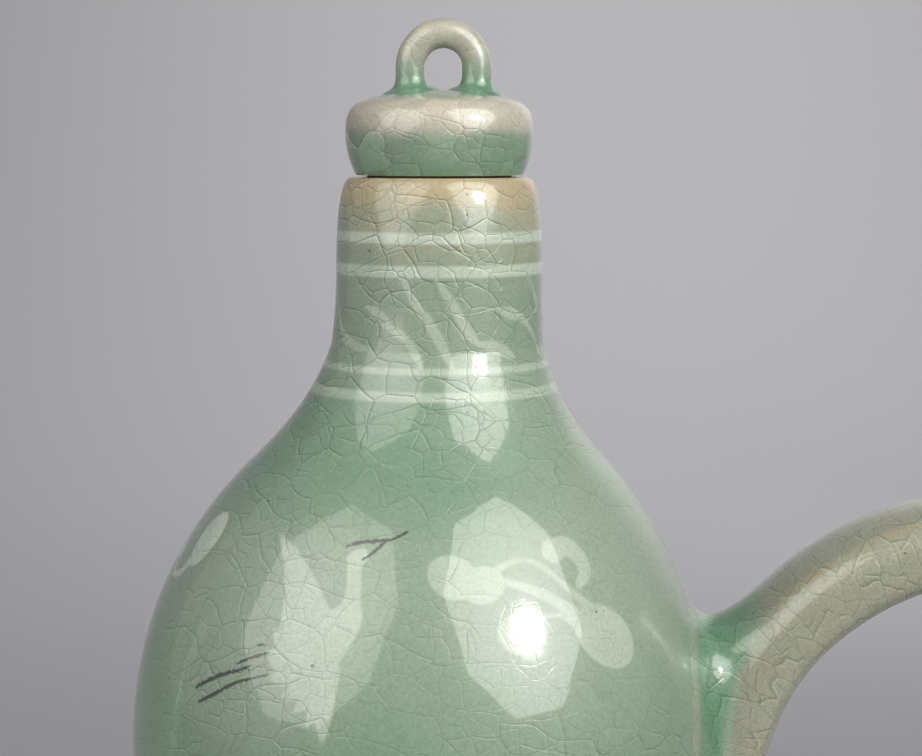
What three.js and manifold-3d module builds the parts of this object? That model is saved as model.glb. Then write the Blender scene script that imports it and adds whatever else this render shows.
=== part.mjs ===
import * as THREE from "three";
import { mergeVertices } from "three/addons/utils/BufferGeometryUtils.js";
import Module from "manifold-3d";

// A glazed stoneware ewer in the shape of a double gourd, with a strap handle, a hollow
// swan-neck spout, a small ring on the handle for a lid cord, and a lift-off lid with a loop.
// Millimetres, +Z up, origin on the table under the middle of the foot.
// The handle is on the +X side and the spout on the -X side.

// Heights above the table
const FOOT_HEIGHT = 5;
const LOWER_BELLY_HEIGHT = 66;
const WAIST_HEIGHT = 135;
const UPPER_BELLY_HEIGHT = 166;
const SHOULDER_RISE = 40.7;
const NECK_JOINT_RISE = 50;
const NECK_RISE = 57.5;
const RIM_RISE = 81.3;

// Radii of the outside, and walls
const FOOT_RADIUS = 42;
const FOOT_RING_WIDTH = 6.5;
const LOWER_BELLY_RADIUS = 74;
const WAIST_RADIUS = 23.5;
const UPPER_BELLY_RADIUS = 41.95;
const SHOULDER_RADIUS = 25.8;
const NECK_RADIUS = 14.75;
const WALL = 4.2;
const NECK_WALL = 3.9;
const FLOOR_THICKNESS = 6;

// The neck was set on slightly towards the handle
const NECK_LEAN = 2.5;
const LEAN_START_RISE = 18;
const LEAN_END_RISE = 70;

// Lid
const LID_GAP = 0.3;
const LID_RADIUS = 13.35;
const LID_SEAT_RADIUS = 11.9;
const LID_WIDEST_HEIGHT = 6.2;
const LID_HEIGHT = 10.45;
const LID_CROWN = 1.55;
const PLUG_CLEARANCE = 0.6;
const PLUG_WALL = 3;
const PLUG_DEPTH = 8;
const LOOP_ROD_RADIUS = 2.08;
const LOOP_HALF_SPAN = 4.7;
const LOOP_STRAIGHT = 3.2;
const LOOP_FILLET = 2.3;
const LOOP_OFFSET = 0.6;

// Handle
const HANDLE_WIDTH = 21;
const HANDLE_THICKNESS = 8.7;
const HANDLE_CROWN = 2.1;
const HANDLE_BELLY = 1;
const HANDLE_CORNER = 3;
const HANDLE_REACH = 112;
const UPPER_ROOT_FILLET = 11.5;
const UPPER_FILLET_CHANGE = 3.5;
const LOWER_ROOT_FILLET = 7;
const LOWER_FILLET_CHANGE = 2.5;
const RING_ROD_RADIUS = 1.7;
const RING_HALF_SPAN = 3.9;
const RING_STRAIGHT = 1.6;
const RING_FILLET = 0.9;
const RING_PLACE = 0.435;

// Spout
const SPOUT_REACH = 112;
const SPOUT_TIP_HEIGHT = 206;
const SPOUT_ROOT_RADIUS = 14.5;
const SPOUT_MIDDLE_RADIUS = 9.2;
const SPOUT_TIP_RADIUS = 6.6;
const SPOUT_WALL = 2.9;
const SPOUT_TIP_WALL = 2.1;
const SPOUT_ROOT_FILLET = 7;
const POUR_HOLE_RADIUS = 8;

// Clay pieces that meet on a curved face keep this gap, and clay smeared out round a joint is
// at least this thick
const LUTING_GAP = 0.35;
const PAD_THICKNESS = 0.5;

const SEGMENTS = 48;
const LID_SEGMENTS = 36;

const RIM_HEIGHT = UPPER_BELLY_HEIGHT + RIM_RISE;
const NECK_JOINT_HEIGHT = UPPER_BELLY_HEIGHT + NECK_JOINT_RISE;

const wasm = await Module();
wasm.setup();

// Profiles in the (radius, height) half plane

// The outside of the whole pot, from the edge of its base to the flat of its lip
function outsideCurve() {
  const belly = LOWER_BELLY_RADIUS;
  const bulb = UPPER_BELLY_RADIUS;
  const up = UPPER_BELLY_HEIGHT;
  const down = LOWER_BELLY_HEIGHT;
  const waist = WAIST_HEIGHT;
  const neck = up + NECK_RISE;
  const path = new THREE.Path();
  path.moveTo(FOOT_RADIUS, FOOT_HEIGHT);
  path.bezierCurveTo(belly * 0.78, down * 0.21, belly, down * 0.58, belly, down);
  path.bezierCurveTo(belly, down + 30, belly * 0.7, waist - 24, WAIST_RADIUS + 10.5, waist - 13.5);
  path.bezierCurveTo(WAIST_RADIUS + 4, waist - 9.6, WAIST_RADIUS, waist - 5.5, WAIST_RADIUS, waist);
  path.bezierCurveTo(WAIST_RADIUS, waist + 9, bulb, up - 21, bulb, up);
  path.bezierCurveTo(bulb, up + 18.2, SHOULDER_RADIUS + 8.2, up + SHOULDER_RISE - 8.5,
    SHOULDER_RADIUS, up + SHOULDER_RISE);
  path.bezierCurveTo(SHOULDER_RADIUS - 3.4, up + SHOULDER_RISE + 3.6, NECK_RADIUS + 2.8, neck - 8.1,
    NECK_RADIUS + 0.45, neck);
  path.bezierCurveTo(NECK_RADIUS + 0.1, neck + 3.5, NECK_RADIUS, neck + 7, NECK_RADIUS, neck + 11);
  path.bezierCurveTo(NECK_RADIUS, RIM_HEIGHT - 7.1, NECK_RADIUS - 0.35, RIM_HEIGHT - 0.7,
    NECK_RADIUS - 2, RIM_HEIGHT);
  return path;
}

// Points along each curve of a path: many on a long curve, few on a short one
function sampled(path, counts) {
  const points = [];
  path.curves.forEach((curve, i) => {
    const steps = counts[i];
    for (let k = i ? 1 : 0; k <= steps; k++) points.push(curve.getPointAt(k / steps));
  });
  return points;
}

// The inside of the wall: the outside moved in by the wall, which thins towards the neck
function insideOf(points) {
  return points.map((p, i) => {
    const before = points[Math.max(0, i - 1)];
    const after = points[Math.min(points.length - 1, i + 1)];
    const along = after.clone().sub(before).normalize();
    const thin = THREE.MathUtils.smoothstep(p.y, UPPER_BELLY_HEIGHT, NECK_JOINT_HEIGHT);
    const wall = THREE.MathUtils.lerp(WALL, NECK_WALL, thin);
    return new THREE.Vector2(p.x - along.y * wall, p.y + along.x * wall);
  });
}

// The stretch of a rising profile between two heights, cut exactly at both
function between(points, low, high) {
  const cut = (height) => {
    const i = points.findIndex((p) => p.y >= height);
    const a = points[Math.max(0, i - 1)];
    const b = points[Math.max(0, i)];
    const share = b.y > a.y ? (height - a.y) / (b.y - a.y) : 0;
    return new THREE.Vector2(THREE.MathUtils.lerp(a.x, b.x, share), height);
  };
  const margin = 0.4;
  const inner = points.filter((p) => p.y > low + margin && p.y < high - margin);
  return [cut(low), ...inner, cut(high)];
}

// The pot's own lean: each height of the upper gourd is shifted towards the handle
function leanAt(height) {
  return NECK_LEAN * THREE.MathUtils.smoothstep(height, UPPER_BELLY_HEIGHT + LEAN_START_RISE,
    UPPER_BELLY_HEIGHT + LEAN_END_RISE);
}

function leaned(geometry) {
  const at = geometry.attributes.position;
  for (let i = 0; i < at.count; i++) at.setX(i, at.getX(i) + leanAt(at.getZ(i)));
  return geometry;
}

// A closed profile turned about the Z axis
function turned(profile, segments = SEGMENTS) {
  return new THREE.LatheGeometry(profile, segments).rotateX(Math.PI / 2);
}

// Surfaces that a luted piece sits on: how far a point is outside, and the nearest seat point

// A turned surface, from its profile
function turnedHost(profile) {
  const nearest = (p) => {
    const flat = new THREE.Vector2(Math.hypot(p.x, p.y), p.z);
    let best = { distance: Infinity };
    for (let i = 1; i < profile.length; i++) {
      const a = profile[i - 1];
      const edge = profile[i].clone().sub(a);
      const share = THREE.MathUtils.clamp(flat.clone().sub(a).dot(edge) / edge.lengthSq(), 0, 1);
      const foot = a.clone().addScaledVector(edge, share);
      const distance = foot.distanceTo(flat);
      if (distance < best.distance) {
        const normal = new THREE.Vector2(edge.y, -edge.x).normalize();
        best = { distance, foot, normal, side: flat.clone().sub(foot).dot(normal) };
      }
    }
    return best;
  };
  return {
    outside: (p) => {
      const { distance, side } = nearest(p);
      return side < 0 ? -distance : distance;
    },
    seat: (p, gap) => {
      const { foot, normal } = nearest(p);
      const out = foot.clone().addScaledVector(normal, gap);
      const turn = Math.atan2(p.y, p.x);
      return new THREE.Vector3(out.x * Math.cos(turn), out.x * Math.sin(turn), out.y);
    },
  };
}

// The crowned top of the strap handle
function strapTopHost(centre, crownAt) {
  const samples = 240;
  const frameAt = (p) => {
    let best = 0;
    let least = Infinity;
    for (let i = 0; i <= samples; i++) {
      const q = centre.getPointAt(i / samples);
      const d = (q.x - p.x) ** 2 + (q.y - p.z) ** 2;
      if (d < least) {
        least = d;
        best = i / samples;
      }
    }
    const q = centre.getPointAt(best);
    const t = centre.getTangentAt(best);
    return { q, normal: new THREE.Vector2(-t.y, t.x) };
  };
  return {
    outside: (p) => {
      const { q, normal } = frameAt(p);
      return (p.x - q.x) * normal.x + (p.z - q.y) * normal.y - crownAt(p.y);
    },
    seat: (p, gap) => {
      const { q, normal } = frameAt(p);
      const height = (p.x - q.x) * normal.x + (p.z - q.y) * normal.y;
      const move = crownAt(p.y) + gap - height;
      return new THREE.Vector3(p.x + normal.x * move, p.y, p.z + normal.y * move);
    },
  };
}

// A closed skin over rings of points. A ring of one point closes an end.
function skinned(rings, endless = false) {
  const points = rings.flat();
  const starts = [];
  let total = 0;
  for (const ring of rings) {
    starts.push(total);
    total += ring.length;
  }
  const index = [];
  const bands = endless ? rings.length : rings.length - 1;
  for (let k = 0; k < bands; k++) {
    const next = (k + 1) % rings.length;
    const [a, b] = [rings[k].length, rings[next].length];
    const sides = Math.max(a, b);
    for (let i = 0; i < sides; i++) {
      const j = (i + 1) % sides;
      const here = (n) => starts[k] + (a === 1 ? 0 : n);
      const there = (n) => starts[next] + (b === 1 ? 0 : n);
      if (a > 1) index.push(here(j), here(i), there(j));
      if (b > 1) index.push(there(j), here(i), there(i));
    }
  }
  return new THREE.BufferGeometry().setFromPoints(points).setIndex(index);
}

// Where each strand of a tube leaves its host, found by halving
function leaving(strand, host, inside, outside) {
  let [low, high] = [inside, outside];
  for (let k = 0; k < 24; k++) {
    const middle = (low + high) / 2;
    if (host.outside(strand(middle)) < LUTING_GAP) low = middle;
    else high = middle;
  }
  return (low + high) / 2;
}

function centreOf(points) {
  const sum = points.reduce((s, p) => s.add(p), new THREE.Vector3());
  return sum.divideScalar(points.length);
}

// The luted end of a tube: its strands bend out on to the host in a fillet.
// strand(i, t) is a point of the bare tube, and fillets[i] is the fillet's length on strand i.
// Returns where each strand starts, and the rings from the footprint up to there.
function lutedRoot({ sides, strand, host, inside, outside, fillets, length, steps }) {
  const forward = Math.sign(outside - inside);
  const corners = [];
  const starts = [];
  for (let i = 0; i < sides; i++) {
    const t = leaving((s) => strand(i, s), host, inside, outside);
    corners.push(strand(i, t));
    starts.push(t + (forward * fillets[i]) / length);
  }
  const middle = centreOf(corners);
  const feet = corners.map((corner, i) => {
    const out = corner.clone().sub(middle).normalize();
    return host.seat(corner.clone().addScaledVector(out, fillets[i]), LUTING_GAP);
  });
  const rings = [];
  for (let k = 0; k < steps; k++) {
    const s = k / steps;
    rings.push(corners.map((corner, i) => {
      const top = strand(i, starts[i]);
      const low = feet[i].clone().lerp(corner, s);
      const point = low.lerp(corner.clone().lerp(top, s), s);
      const least = LUTING_GAP + 4 * PAD_THICKNESS * s * (1 - s);
      return host.outside(point) < least ? host.seat(point, least) : point;
    }));
  }
  return { starts, rings, middle };
}

// The seat under a solid end: rings on the host, closing at its middle
function seatCap(foot, middle, host, steps) {
  const rings = [[host.seat(middle, LUTING_GAP)]];
  for (let k = 1; k < steps; k++) {
    const share = k / steps;
    rings.push(foot.map((p) => host.seat(middle.clone().lerp(p, share), LUTING_GAP)));
  }
  return rings;
}

// Rings of a tube whose strands run between their own ends
function tubeRings(sides, strand, from, to, steps) {
  const rings = [];
  for (let k = 0; k <= steps; k++) {
    const ring = [];
    for (let i = 0; i < sides; i++) {
      ring.push(strand(i, THREE.MathUtils.lerp(from[i], to[i], k / steps)));
    }
    rings.push(ring);
  }
  return rings;
}

// A solid rod or strap luted to a host at both ends
function lutedStrap({ sides, strand, length, ends, steps, filletSteps, capSteps }) {
  const [first, last] = ends.map((end) =>
    lutedRoot({ sides, strand, length, steps: filletSteps, ...end }));
  const lastRings = last.rings.slice().reverse();
  return skinned([
    ...seatCap(first.rings[0], first.middle, ends[0].host, capSteps),
    ...first.rings,
    ...tubeRings(sides, strand, first.starts, last.starts, steps),
    ...lastRings,
    ...seatCap(last.rings[0], last.middle, ends[1].host, capSteps).reverse(),
  ]);
}

// A point of a section that stands square to a centre line in the XZ plane
function onSection(centre, t, across, outward) {
  const c = centre.getPointAt(THREE.MathUtils.clamp(t, 0, 1));
  const along = centre.getTangentAt(THREE.MathUtils.clamp(t, 0, 1));
  return new THREE.Vector3(c.x - along.y * outward, across, c.y + along.x * outward);
}

// The thrown pieces

const outside = sampled(outsideCurve(), [6, 7, 3, 7, 6, 3, 3, 5]);
const inside = insideOf(outside);
const bulbHost = turnedHost(outside);

function footRing() {
  const inner = FOOT_RADIUS - FOOT_RING_WIDTH;
  const round = 1.1;
  return turned([
    new THREE.Vector2(inner + round, 0),
    new THREE.Vector2(FOOT_RADIUS - 1.5 - round, 0),
    new THREE.Vector2(FOOT_RADIUS - 1.5, round),
    new THREE.Vector2(FOOT_RADIUS - 0.6, FOOT_HEIGHT * 0.6),
    new THREE.Vector2(FOOT_RADIUS - 0.3, FOOT_HEIGHT),
    new THREE.Vector2(inner - 0.4, FOOT_HEIGHT),
    new THREE.Vector2(inner, round),
    new THREE.Vector2(inner + round, 0),
  ]);
}

// The lower gourd is thrown as two halves that are luted at its belly
function lowerBowl() {
  const floor = FOOT_HEIGHT + FLOOR_THICKNESS;
  const wall = between(inside, floor, LOWER_BELLY_HEIGHT).reverse();
  return turned([
    new THREE.Vector2(0, FOOT_HEIGHT),
    ...between(outside, FOOT_HEIGHT, LOWER_BELLY_HEIGHT),
    ...wall,
    new THREE.Vector2(0, floor),
  ]);
}

// A wall between two heights, open above and below
function wallRing(low, high) {
  const outer = between(outside, low, high);
  const inner = between(inside, low, high).reverse();
  return leaned(turned([...outer, ...inner, outer[0].clone()]));
}

function lowerDome() {
  return wallRing(LOWER_BELLY_HEIGHT, WAIST_HEIGHT);
}

function upperBulb() {
  return wallRing(WAIST_HEIGHT, NECK_JOINT_HEIGHT);
}

// The neck curves in to a narrow flat lip, eased inside, where the lid sits
const BORE_RADIUS = NECK_RADIUS - NECK_WALL;

function neck() {
  const ease = 0.4;
  const outer = between(outside, NECK_JOINT_HEIGHT, RIM_HEIGHT);
  const inner = between(inside, NECK_JOINT_HEIGHT, RIM_HEIGHT - 8).reverse();
  return leaned(turned([
    ...outer,
    new THREE.Vector2(BORE_RADIUS + ease, RIM_HEIGHT),
    new THREE.Vector2(BORE_RADIUS, RIM_HEIGHT - ease),
    ...inner,
    outer[0].clone(),
  ]));
}

// Handle: a pulled strap from the belly of the upper gourd, over and down to the lower one

function handleCentre() {
  const up = UPPER_BELLY_HEIGHT;
  const wall = UPPER_BELLY_RADIUS;
  const out = HANDLE_REACH - HANDLE_THICKNESS / 2;
  const path = new THREE.Path();
  path.moveTo(wall - 14.9, up - 14);
  path.bezierCurveTo(wall + 9.8, up - 13, wall - 5.8, up + 7.2, wall + 19.4, up + 23.2);
  path.bezierCurveTo(wall + 38, up + 35, out, up + 30.2, out, up + 2);
  path.bezierCurveTo(out, up - 26, out - 15, LOWER_BELLY_HEIGHT + 52, 57, LOWER_BELLY_HEIGHT + 32);
  return path;
}

// How far a crowned face swells at a distance from the strap's middle line
function swell(crown, across) {
  const share = Math.min(1, Math.abs(across) / (HANDLE_WIDTH / 2));
  return crown * (1 - share * share);
}

function strapTop(across) {
  return HANDLE_THICKNESS / 2 + swell(HANDLE_CROWN, across);
}

// The strap's section: a rectangle with round corners, as points that run round from the
// middle of its top, each with its place across the strap and through it.
// cornerSteps counts the steps of a corner on the top and of one on the underside.
function strapSection(cornerSteps, flatSteps, sideSteps) {
  const half = HANDLE_WIDTH / 2 - HANDLE_CORNER;
  const rise = HANDLE_THICKNESS / 2 - HANDLE_CORNER;
  const [top, under] = cornerSteps;
  const corners = [
    [half, rise, 90, top],
    [half, -rise, 0, under],
    [-half, -rise, -90, under],
    [-half, rise, -180, top],
  ];
  const round = corners.map(([across, through, from, steps]) =>
    Array.from({ length: steps + 1 }, (_, k) => {
      const turn = THREE.MathUtils.degToRad(from - (90 * k) / steps);
      return new THREE.Vector2(across + HANDLE_CORNER * Math.cos(turn),
        through + HANDLE_CORNER * Math.sin(turn));
    }));
  const points = [];
  round.forEach((corner, c) => {
    const next = round[(c + 1) % 4][0];
    const last = corner[corner.length - 1];
    const steps = c % 2 ? flatSteps : sideSteps;
    points.push(...corner);
    for (let k = 1; k < steps; k++) points.push(last.clone().lerp(next, k / steps));
  });
  // The list starts at the middle of the top instead of at the first corner
  return [...points.slice(-flatSteps / 2), ...points.slice(0, -flatSteps / 2)];
}

const handleLine = handleCentre();

function handle() {
  const section = strapSection([4, 2], 4, 2);
  const swollen = (p) => p.y + (p.y > 0 ? swell(HANDLE_CROWN, p.x) : -swell(HANDLE_BELLY, p.x));
  const strand = (i, t) => onSection(handleLine, t, section[i].x, swollen(section[i]));
  // The notch above the upper root is filled more than the angle under it
  const facing = section.map((p) => p.y / (HANDLE_THICKNESS / 2));
  const upperFillets = facing.map((up) => UPPER_ROOT_FILLET + UPPER_FILLET_CHANGE * up);
  const lowerFillets = facing.map((up) => LOWER_ROOT_FILLET - LOWER_FILLET_CHANGE * up);
  return lutedStrap({
    sides: section.length,
    strand,
    length: handleLine.getLength(),
    steps: 20,
    filletSteps: 5,
    capSteps: 5,
    ends: [
      { host: bulbHost, inside: 0, outside: 0.22, fillets: upperFillets },
      { host: bulbHost, inside: 1, outside: 0.85, fillets: lowerFillets },
    ],
  });
}

// A rod bent to an arch, luted at both feet. It stands in the XZ plane of its own frame.
function archLoop({ halfSpan, straight, rod, host, bury, fillet }) {
  const sides = 10;
  const path = new THREE.Path();
  path.moveTo(-halfSpan, -bury);
  path.lineTo(-halfSpan, straight);
  path.absarc(0, straight, halfSpan, Math.PI, 0, true);
  path.lineTo(halfSpan, -bury);
  const strand = (i, t) => {
    const turn = (2 * Math.PI * i) / sides;
    return onSection(path, t, rod * Math.sin(turn), rod * Math.cos(turn));
  };
  const fillets = Array.from({ length: sides }, () => fillet);
  return lutedStrap({
    sides,
    strand,
    length: path.getLength(),
    steps: 12,
    filletSteps: 3,
    capSteps: 1,
    ends: [
      { host, inside: 0, outside: 0.4, fillets },
      { host, inside: 1, outside: 0.6, fillets },
    ],
  });
}

// The small ring stands along the strap at the top of its arch
function handleRing() {
  const host = strapTopHost(handleLine, strapTop);
  const at = onSection(handleLine, RING_PLACE, 0, strapTop(0));
  const along = handleLine.getTangentAt(RING_PLACE);
  const tilt = new THREE.Matrix4().makeRotationY(-Math.atan2(along.y, along.x)).setPosition(at);
  const back = tilt.clone().invert();
  const localHost = {
    outside: (p) => host.outside(p.clone().applyMatrix4(tilt)),
    seat: (p, gap) => host.seat(p.clone().applyMatrix4(tilt), gap).applyMatrix4(back),
  };
  const ring = archLoop({
    halfSpan: RING_HALF_SPAN,
    straight: RING_STRAIGHT,
    rod: RING_ROD_RADIUS,
    host: localHost,
    bury: 2,
    fillet: RING_FILLET,
  });
  return ring.applyMatrix4(tilt);
}

// Spout: a hollow swan neck, wide where it is luted over the pouring hole

function spoutCentre() {
  const tip = SPOUT_REACH - SPOUT_TIP_RADIUS;
  const top = SPOUT_TIP_HEIGHT;
  const belly = LOWER_BELLY_RADIUS;
  const path = new THREE.Path();
  path.moveTo(-(belly - 18), LOWER_BELLY_HEIGHT + 6);
  path.bezierCurveTo(-(belly + 12), LOWER_BELLY_HEIGHT + 18, -(tip - 18), top - 96, -(tip - 15), top - 64);
  path.bezierCurveTo(-(tip - 12.5), top - 38, -(tip - 9), top - 18, -tip, top);
  return path;
}

const spoutLine = spoutCentre();

function spoutRadius(t) {
  const lower = THREE.MathUtils.smoothstep(t, 0.05, 0.62);
  const taper = THREE.MathUtils.lerp(SPOUT_ROOT_RADIUS, SPOUT_MIDDLE_RADIUS, lower);
  const upper = THREE.MathUtils.smoothstep(t, 0.4, 0.93);
  const lip = 0.5 * THREE.MathUtils.smoothstep(t, 0.93, 1);
  return THREE.MathUtils.lerp(taper, SPOUT_TIP_RADIUS - 0.5, upper) + lip;
}

function spout() {
  const sides = 18;
  const host = bulbHost;
  const length = spoutLine.getLength();
  const ringPoint = (shrink) => (i, t) => {
    const turn = (2 * Math.PI * i) / sides;
    const wall = shrink * THREE.MathUtils.lerp(SPOUT_WALL, SPOUT_TIP_WALL, t);
    const r = spoutRadius(THREE.MathUtils.clamp(t, 0, 1)) - wall;
    return onSection(spoutLine, t, r * Math.sin(turn), r * Math.cos(turn));
  };
  const outer = ringPoint(0);
  const inner = ringPoint(1);
  const fillets = Array.from({ length: sides }, () => SPOUT_ROOT_FILLET);
  const end = { host, inside: 0, outside: 0.3, fillets };
  const root = lutedRoot({ sides, strand: outer, length, steps: 4, ...end });
  const mouths = [];
  for (let i = 0; i < sides; i++) mouths.push(leaving((t) => inner(i, t), host, 0, 0.3));
  const bore = tubeRings(sides, inner, mouths, Array(sides).fill(1), 16);
  // The lip is rounded between the outside and the bore
  const lip = [0.35, 0.65].map((share) => bore[bore.length - 1].map((p, i) => {
    const q = outer(i, 1).clone().lerp(p, share);
    const along = spoutLine.getTangentAt(1);
    return q.add(new THREE.Vector3(along.x, 0, along.y).multiplyScalar(0.7));
  }));
  const seat = root.rings[0].map((p, i) => host.seat(p.clone().lerp(bore[0][i], 0.5), LUTING_GAP));
  return skinned([
    ...root.rings,
    ...tubeRings(sides, outer, root.starts, Array(sides).fill(1), 20),
    ...lip,
    ...bore.reverse(),
    seat,
  ], true);
}

// Solids for cutting

function solidOf(geometry) {
  const bare = geometry.clone();
  bare.deleteAttribute("normal");
  bare.deleteAttribute("uv");
  const merged = mergeVertices(bare, 1e-3);
  return new wasm.Manifold(new wasm.Mesh({
    numProp: 3,
    vertProperties: merged.attributes.position.array,
    triVerts: new Uint32Array(merged.index.array),
  }));
}

function geometryOf(solid) {
  const mesh = solid.getMesh();
  return new THREE.BufferGeometry()
    .setAttribute("position", new THREE.BufferAttribute(mesh.vertProperties, 3))
    .setIndex(new THREE.BufferAttribute(mesh.triVerts, 1));
}

// The lower gourd's wall is pierced along the spout's own line
function piercedDome() {
  const start = spoutLine.getPointAt(0);
  const along = spoutLine.getTangentAt(0.04);
  const reach = 44;
  const inward = 6;
  const drill = new THREE.CylinderGeometry(POUR_HOLE_RADIUS, POUR_HOLE_RADIUS, reach, 20)
    .rotateX(Math.PI / 2)
    .applyMatrix4(new THREE.Matrix4().lookAt(
      new THREE.Vector3(),
      new THREE.Vector3(along.x, 0, along.y),
      new THREE.Vector3(0, 1, 0),
    ))
    .translate(start.x + along.x * inward, 0, start.y + along.y * inward);
  return geometryOf(solidOf(lowerDome()).subtract(solidOf(drill)));
}

// Lid, in its own frame: its axis is Z and its seat is at zero

function lidProfile() {
  const path = new THREE.Path();
  path.moveTo(LID_SEAT_RADIUS, 0);
  path.bezierCurveTo(LID_SEAT_RADIUS + 0.5, 1, LID_RADIUS, 3, LID_RADIUS, LID_WIDEST_HEIGHT);
  path.bezierCurveTo(LID_RADIUS, LID_HEIGHT - 1.85, LID_RADIUS - 0.65, LID_HEIGHT - 0.65,
    LID_RADIUS - 2.25, LID_HEIGHT);
  path.bezierCurveTo(LID_RADIUS - 4.75, LID_HEIGHT + 0.9, LID_RADIUS - 8.85,
    LID_HEIGHT + LID_CROWN, 0, LID_HEIGHT + LID_CROWN);
  return path;
}

function lidCap() {
  return turned([
    new THREE.Vector2(0, 0),
    ...sampled(lidProfile(), [3, 4, 4]),
  ], LID_SEGMENTS);
}

function lidPlug() {
  const radius = BORE_RADIUS - PLUG_CLEARANCE;
  const ease = 0.7;
  return turned([
    new THREE.Vector2(radius - PLUG_WALL, -PLUG_DEPTH),
    new THREE.Vector2(radius - ease, -PLUG_DEPTH),
    new THREE.Vector2(radius, -PLUG_DEPTH + ease),
    new THREE.Vector2(radius, 0),
    new THREE.Vector2(radius - PLUG_WALL, 0),
    new THREE.Vector2(radius - PLUG_WALL, -PLUG_DEPTH),
  ], LID_SEGMENTS);
}

// The loop stands a little off the lid's middle, towards the handle
function lidLoop() {
  const place = new THREE.Vector3(LOOP_OFFSET, 0, LID_HEIGHT + LID_CROWN);
  const host = turnedHost(sampled(lidProfile(), [8, 10, 24]));
  const raised = {
    outside: (p) => host.outside(p.clone().add(place)),
    seat: (p, gap) => host.seat(p.clone().add(place), gap).sub(place),
  };
  return archLoop({
    halfSpan: LOOP_HALF_SPAN,
    straight: LOOP_STRAIGHT,
    rod: LOOP_ROD_RADIUS,
    host: raised,
    bury: 2.5,
    fillet: LOOP_FILLET,
  }).translate(...place.toArray());
}

// Materials

const glaze = () => new THREE.MeshStandardMaterial({ color: 0x93b299, roughness: 0.12, metalness: 0 });
const lidGlaze = () => new THREE.MeshStandardMaterial({ color: 0x8fb39b, roughness: 0.12, metalness: 0 });
const bareClay = () => new THREE.MeshStandardMaterial({ color: 0xb39a7c, roughness: 0.85, metalness: 0 });

function part(name, geometry, material) {
  const mesh = new THREE.Mesh(geometry, material);
  mesh.name = name;
  return mesh;
}

const lid = new THREE.Group();
lid.position.set(leanAt(RIM_HEIGHT), 0, RIM_HEIGHT + LID_GAP);
lid.add(
  part("lid_cap", lidCap(), lidGlaze()),
  part("lid_plug", lidPlug(), bareClay()),
  part("lid_loop", lidLoop(), lidGlaze()),
);

const ewer = new THREE.Group();
ewer.add(
  part("foot_ring", footRing(), bareClay()),
  part("lower_bowl", lowerBowl(), glaze()),
  part("lower_dome", piercedDome(), glaze()),
  part("upper_bulb", upperBulb(), glaze()),
  part("neck", neck(), glaze()),
  part("spout", spout(), glaze()),
  part("handle", handle(), glaze()),
  part("handle_ring", handleRing(), glaze()),
  lid,
);

export default ewer;
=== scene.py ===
import math

import bmesh
import bpy
import numpy as np
from mathutils import Matrix, Vector


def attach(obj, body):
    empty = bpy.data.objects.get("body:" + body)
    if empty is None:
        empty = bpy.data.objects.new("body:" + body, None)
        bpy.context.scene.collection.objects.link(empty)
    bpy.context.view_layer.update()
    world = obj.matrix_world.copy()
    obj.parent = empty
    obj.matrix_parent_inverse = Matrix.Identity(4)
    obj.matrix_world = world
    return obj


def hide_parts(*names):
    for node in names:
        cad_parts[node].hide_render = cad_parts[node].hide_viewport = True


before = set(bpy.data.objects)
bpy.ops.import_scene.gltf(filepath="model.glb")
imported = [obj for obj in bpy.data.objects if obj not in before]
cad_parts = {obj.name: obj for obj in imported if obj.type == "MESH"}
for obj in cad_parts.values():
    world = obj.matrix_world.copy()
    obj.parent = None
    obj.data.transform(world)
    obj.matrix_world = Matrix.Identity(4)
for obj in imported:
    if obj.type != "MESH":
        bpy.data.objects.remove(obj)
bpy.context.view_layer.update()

# A glazed stoneware ewer: a double gourd with a strap handle, a swan-neck spout and a small lid.
# Lengths are in millimetres until a mesh is made, as in the CAD, with +Z up and -Y to the front.

MM = 0.001

# Sizes that the CAD gives
FOOT_HEIGHT = 5.0
LOWER_BELLY_HEIGHT = 66.0
WAIST_HEIGHT = 135.0
UPPER_BELLY_HEIGHT = 166.0
SHOULDER_RISE = 40.7
NECK_JOINT_RISE = 50.0
NECK_RISE = 57.5
RIM_RISE = 81.3
FOOT_RADIUS = 42.0
FOOT_RING_WIDTH = 6.5
LOWER_BELLY_RADIUS = 74.0
WAIST_RADIUS = 23.5
UPPER_BELLY_RADIUS = 41.95
SHOULDER_RADIUS = 25.8
NECK_RADIUS = 14.75
WALL = 4.2
NECK_WALL = 3.9
FLOOR_THICKNESS = 6.0
NECK_LEAN = 2.5
LEAN_START_RISE = 18.0
LEAN_END_RISE = 70.0
LID_GAP = 0.3
LID_RADIUS = 13.35
LID_SEAT_RADIUS = 11.9
LID_WIDEST_HEIGHT = 6.2
LID_HEIGHT = 10.45
LID_CROWN = 1.55
PLUG_CLEARANCE = 0.6
PLUG_WALL = 3.0
PLUG_DEPTH = 8.0
LOOP_ROD_RADIUS = 2.08
LOOP_HALF_SPAN = 4.7
LOOP_STRAIGHT = 3.2
LOOP_FILLET = 2.3
LOOP_OFFSET = 0.6
HANDLE_WIDTH = 21.0
HANDLE_THICKNESS = 8.7
HANDLE_CROWN = 2.1
HANDLE_BELLY = 1.0
HANDLE_CORNER = 3.0
HANDLE_REACH = 112.0
UPPER_ROOT_FILLET = 11.5
UPPER_FILLET_CHANGE = 3.5
LOWER_ROOT_FILLET = 7.0
LOWER_FILLET_CHANGE = 2.5
RING_ROD_RADIUS = 1.7
RING_HALF_SPAN = 3.9
RING_STRAIGHT = 1.6
RING_FILLET = 0.9
RING_PLACE = 0.435
SPOUT_REACH = 112.0
SPOUT_TIP_HEIGHT = 206.0
SPOUT_ROOT_RADIUS = 14.5
SPOUT_MIDDLE_RADIUS = 9.2
SPOUT_TIP_RADIUS = 6.6
SPOUT_WALL = 2.9
SPOUT_TIP_WALL = 2.1
SPOUT_ROOT_FILLET = 7.0
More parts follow.
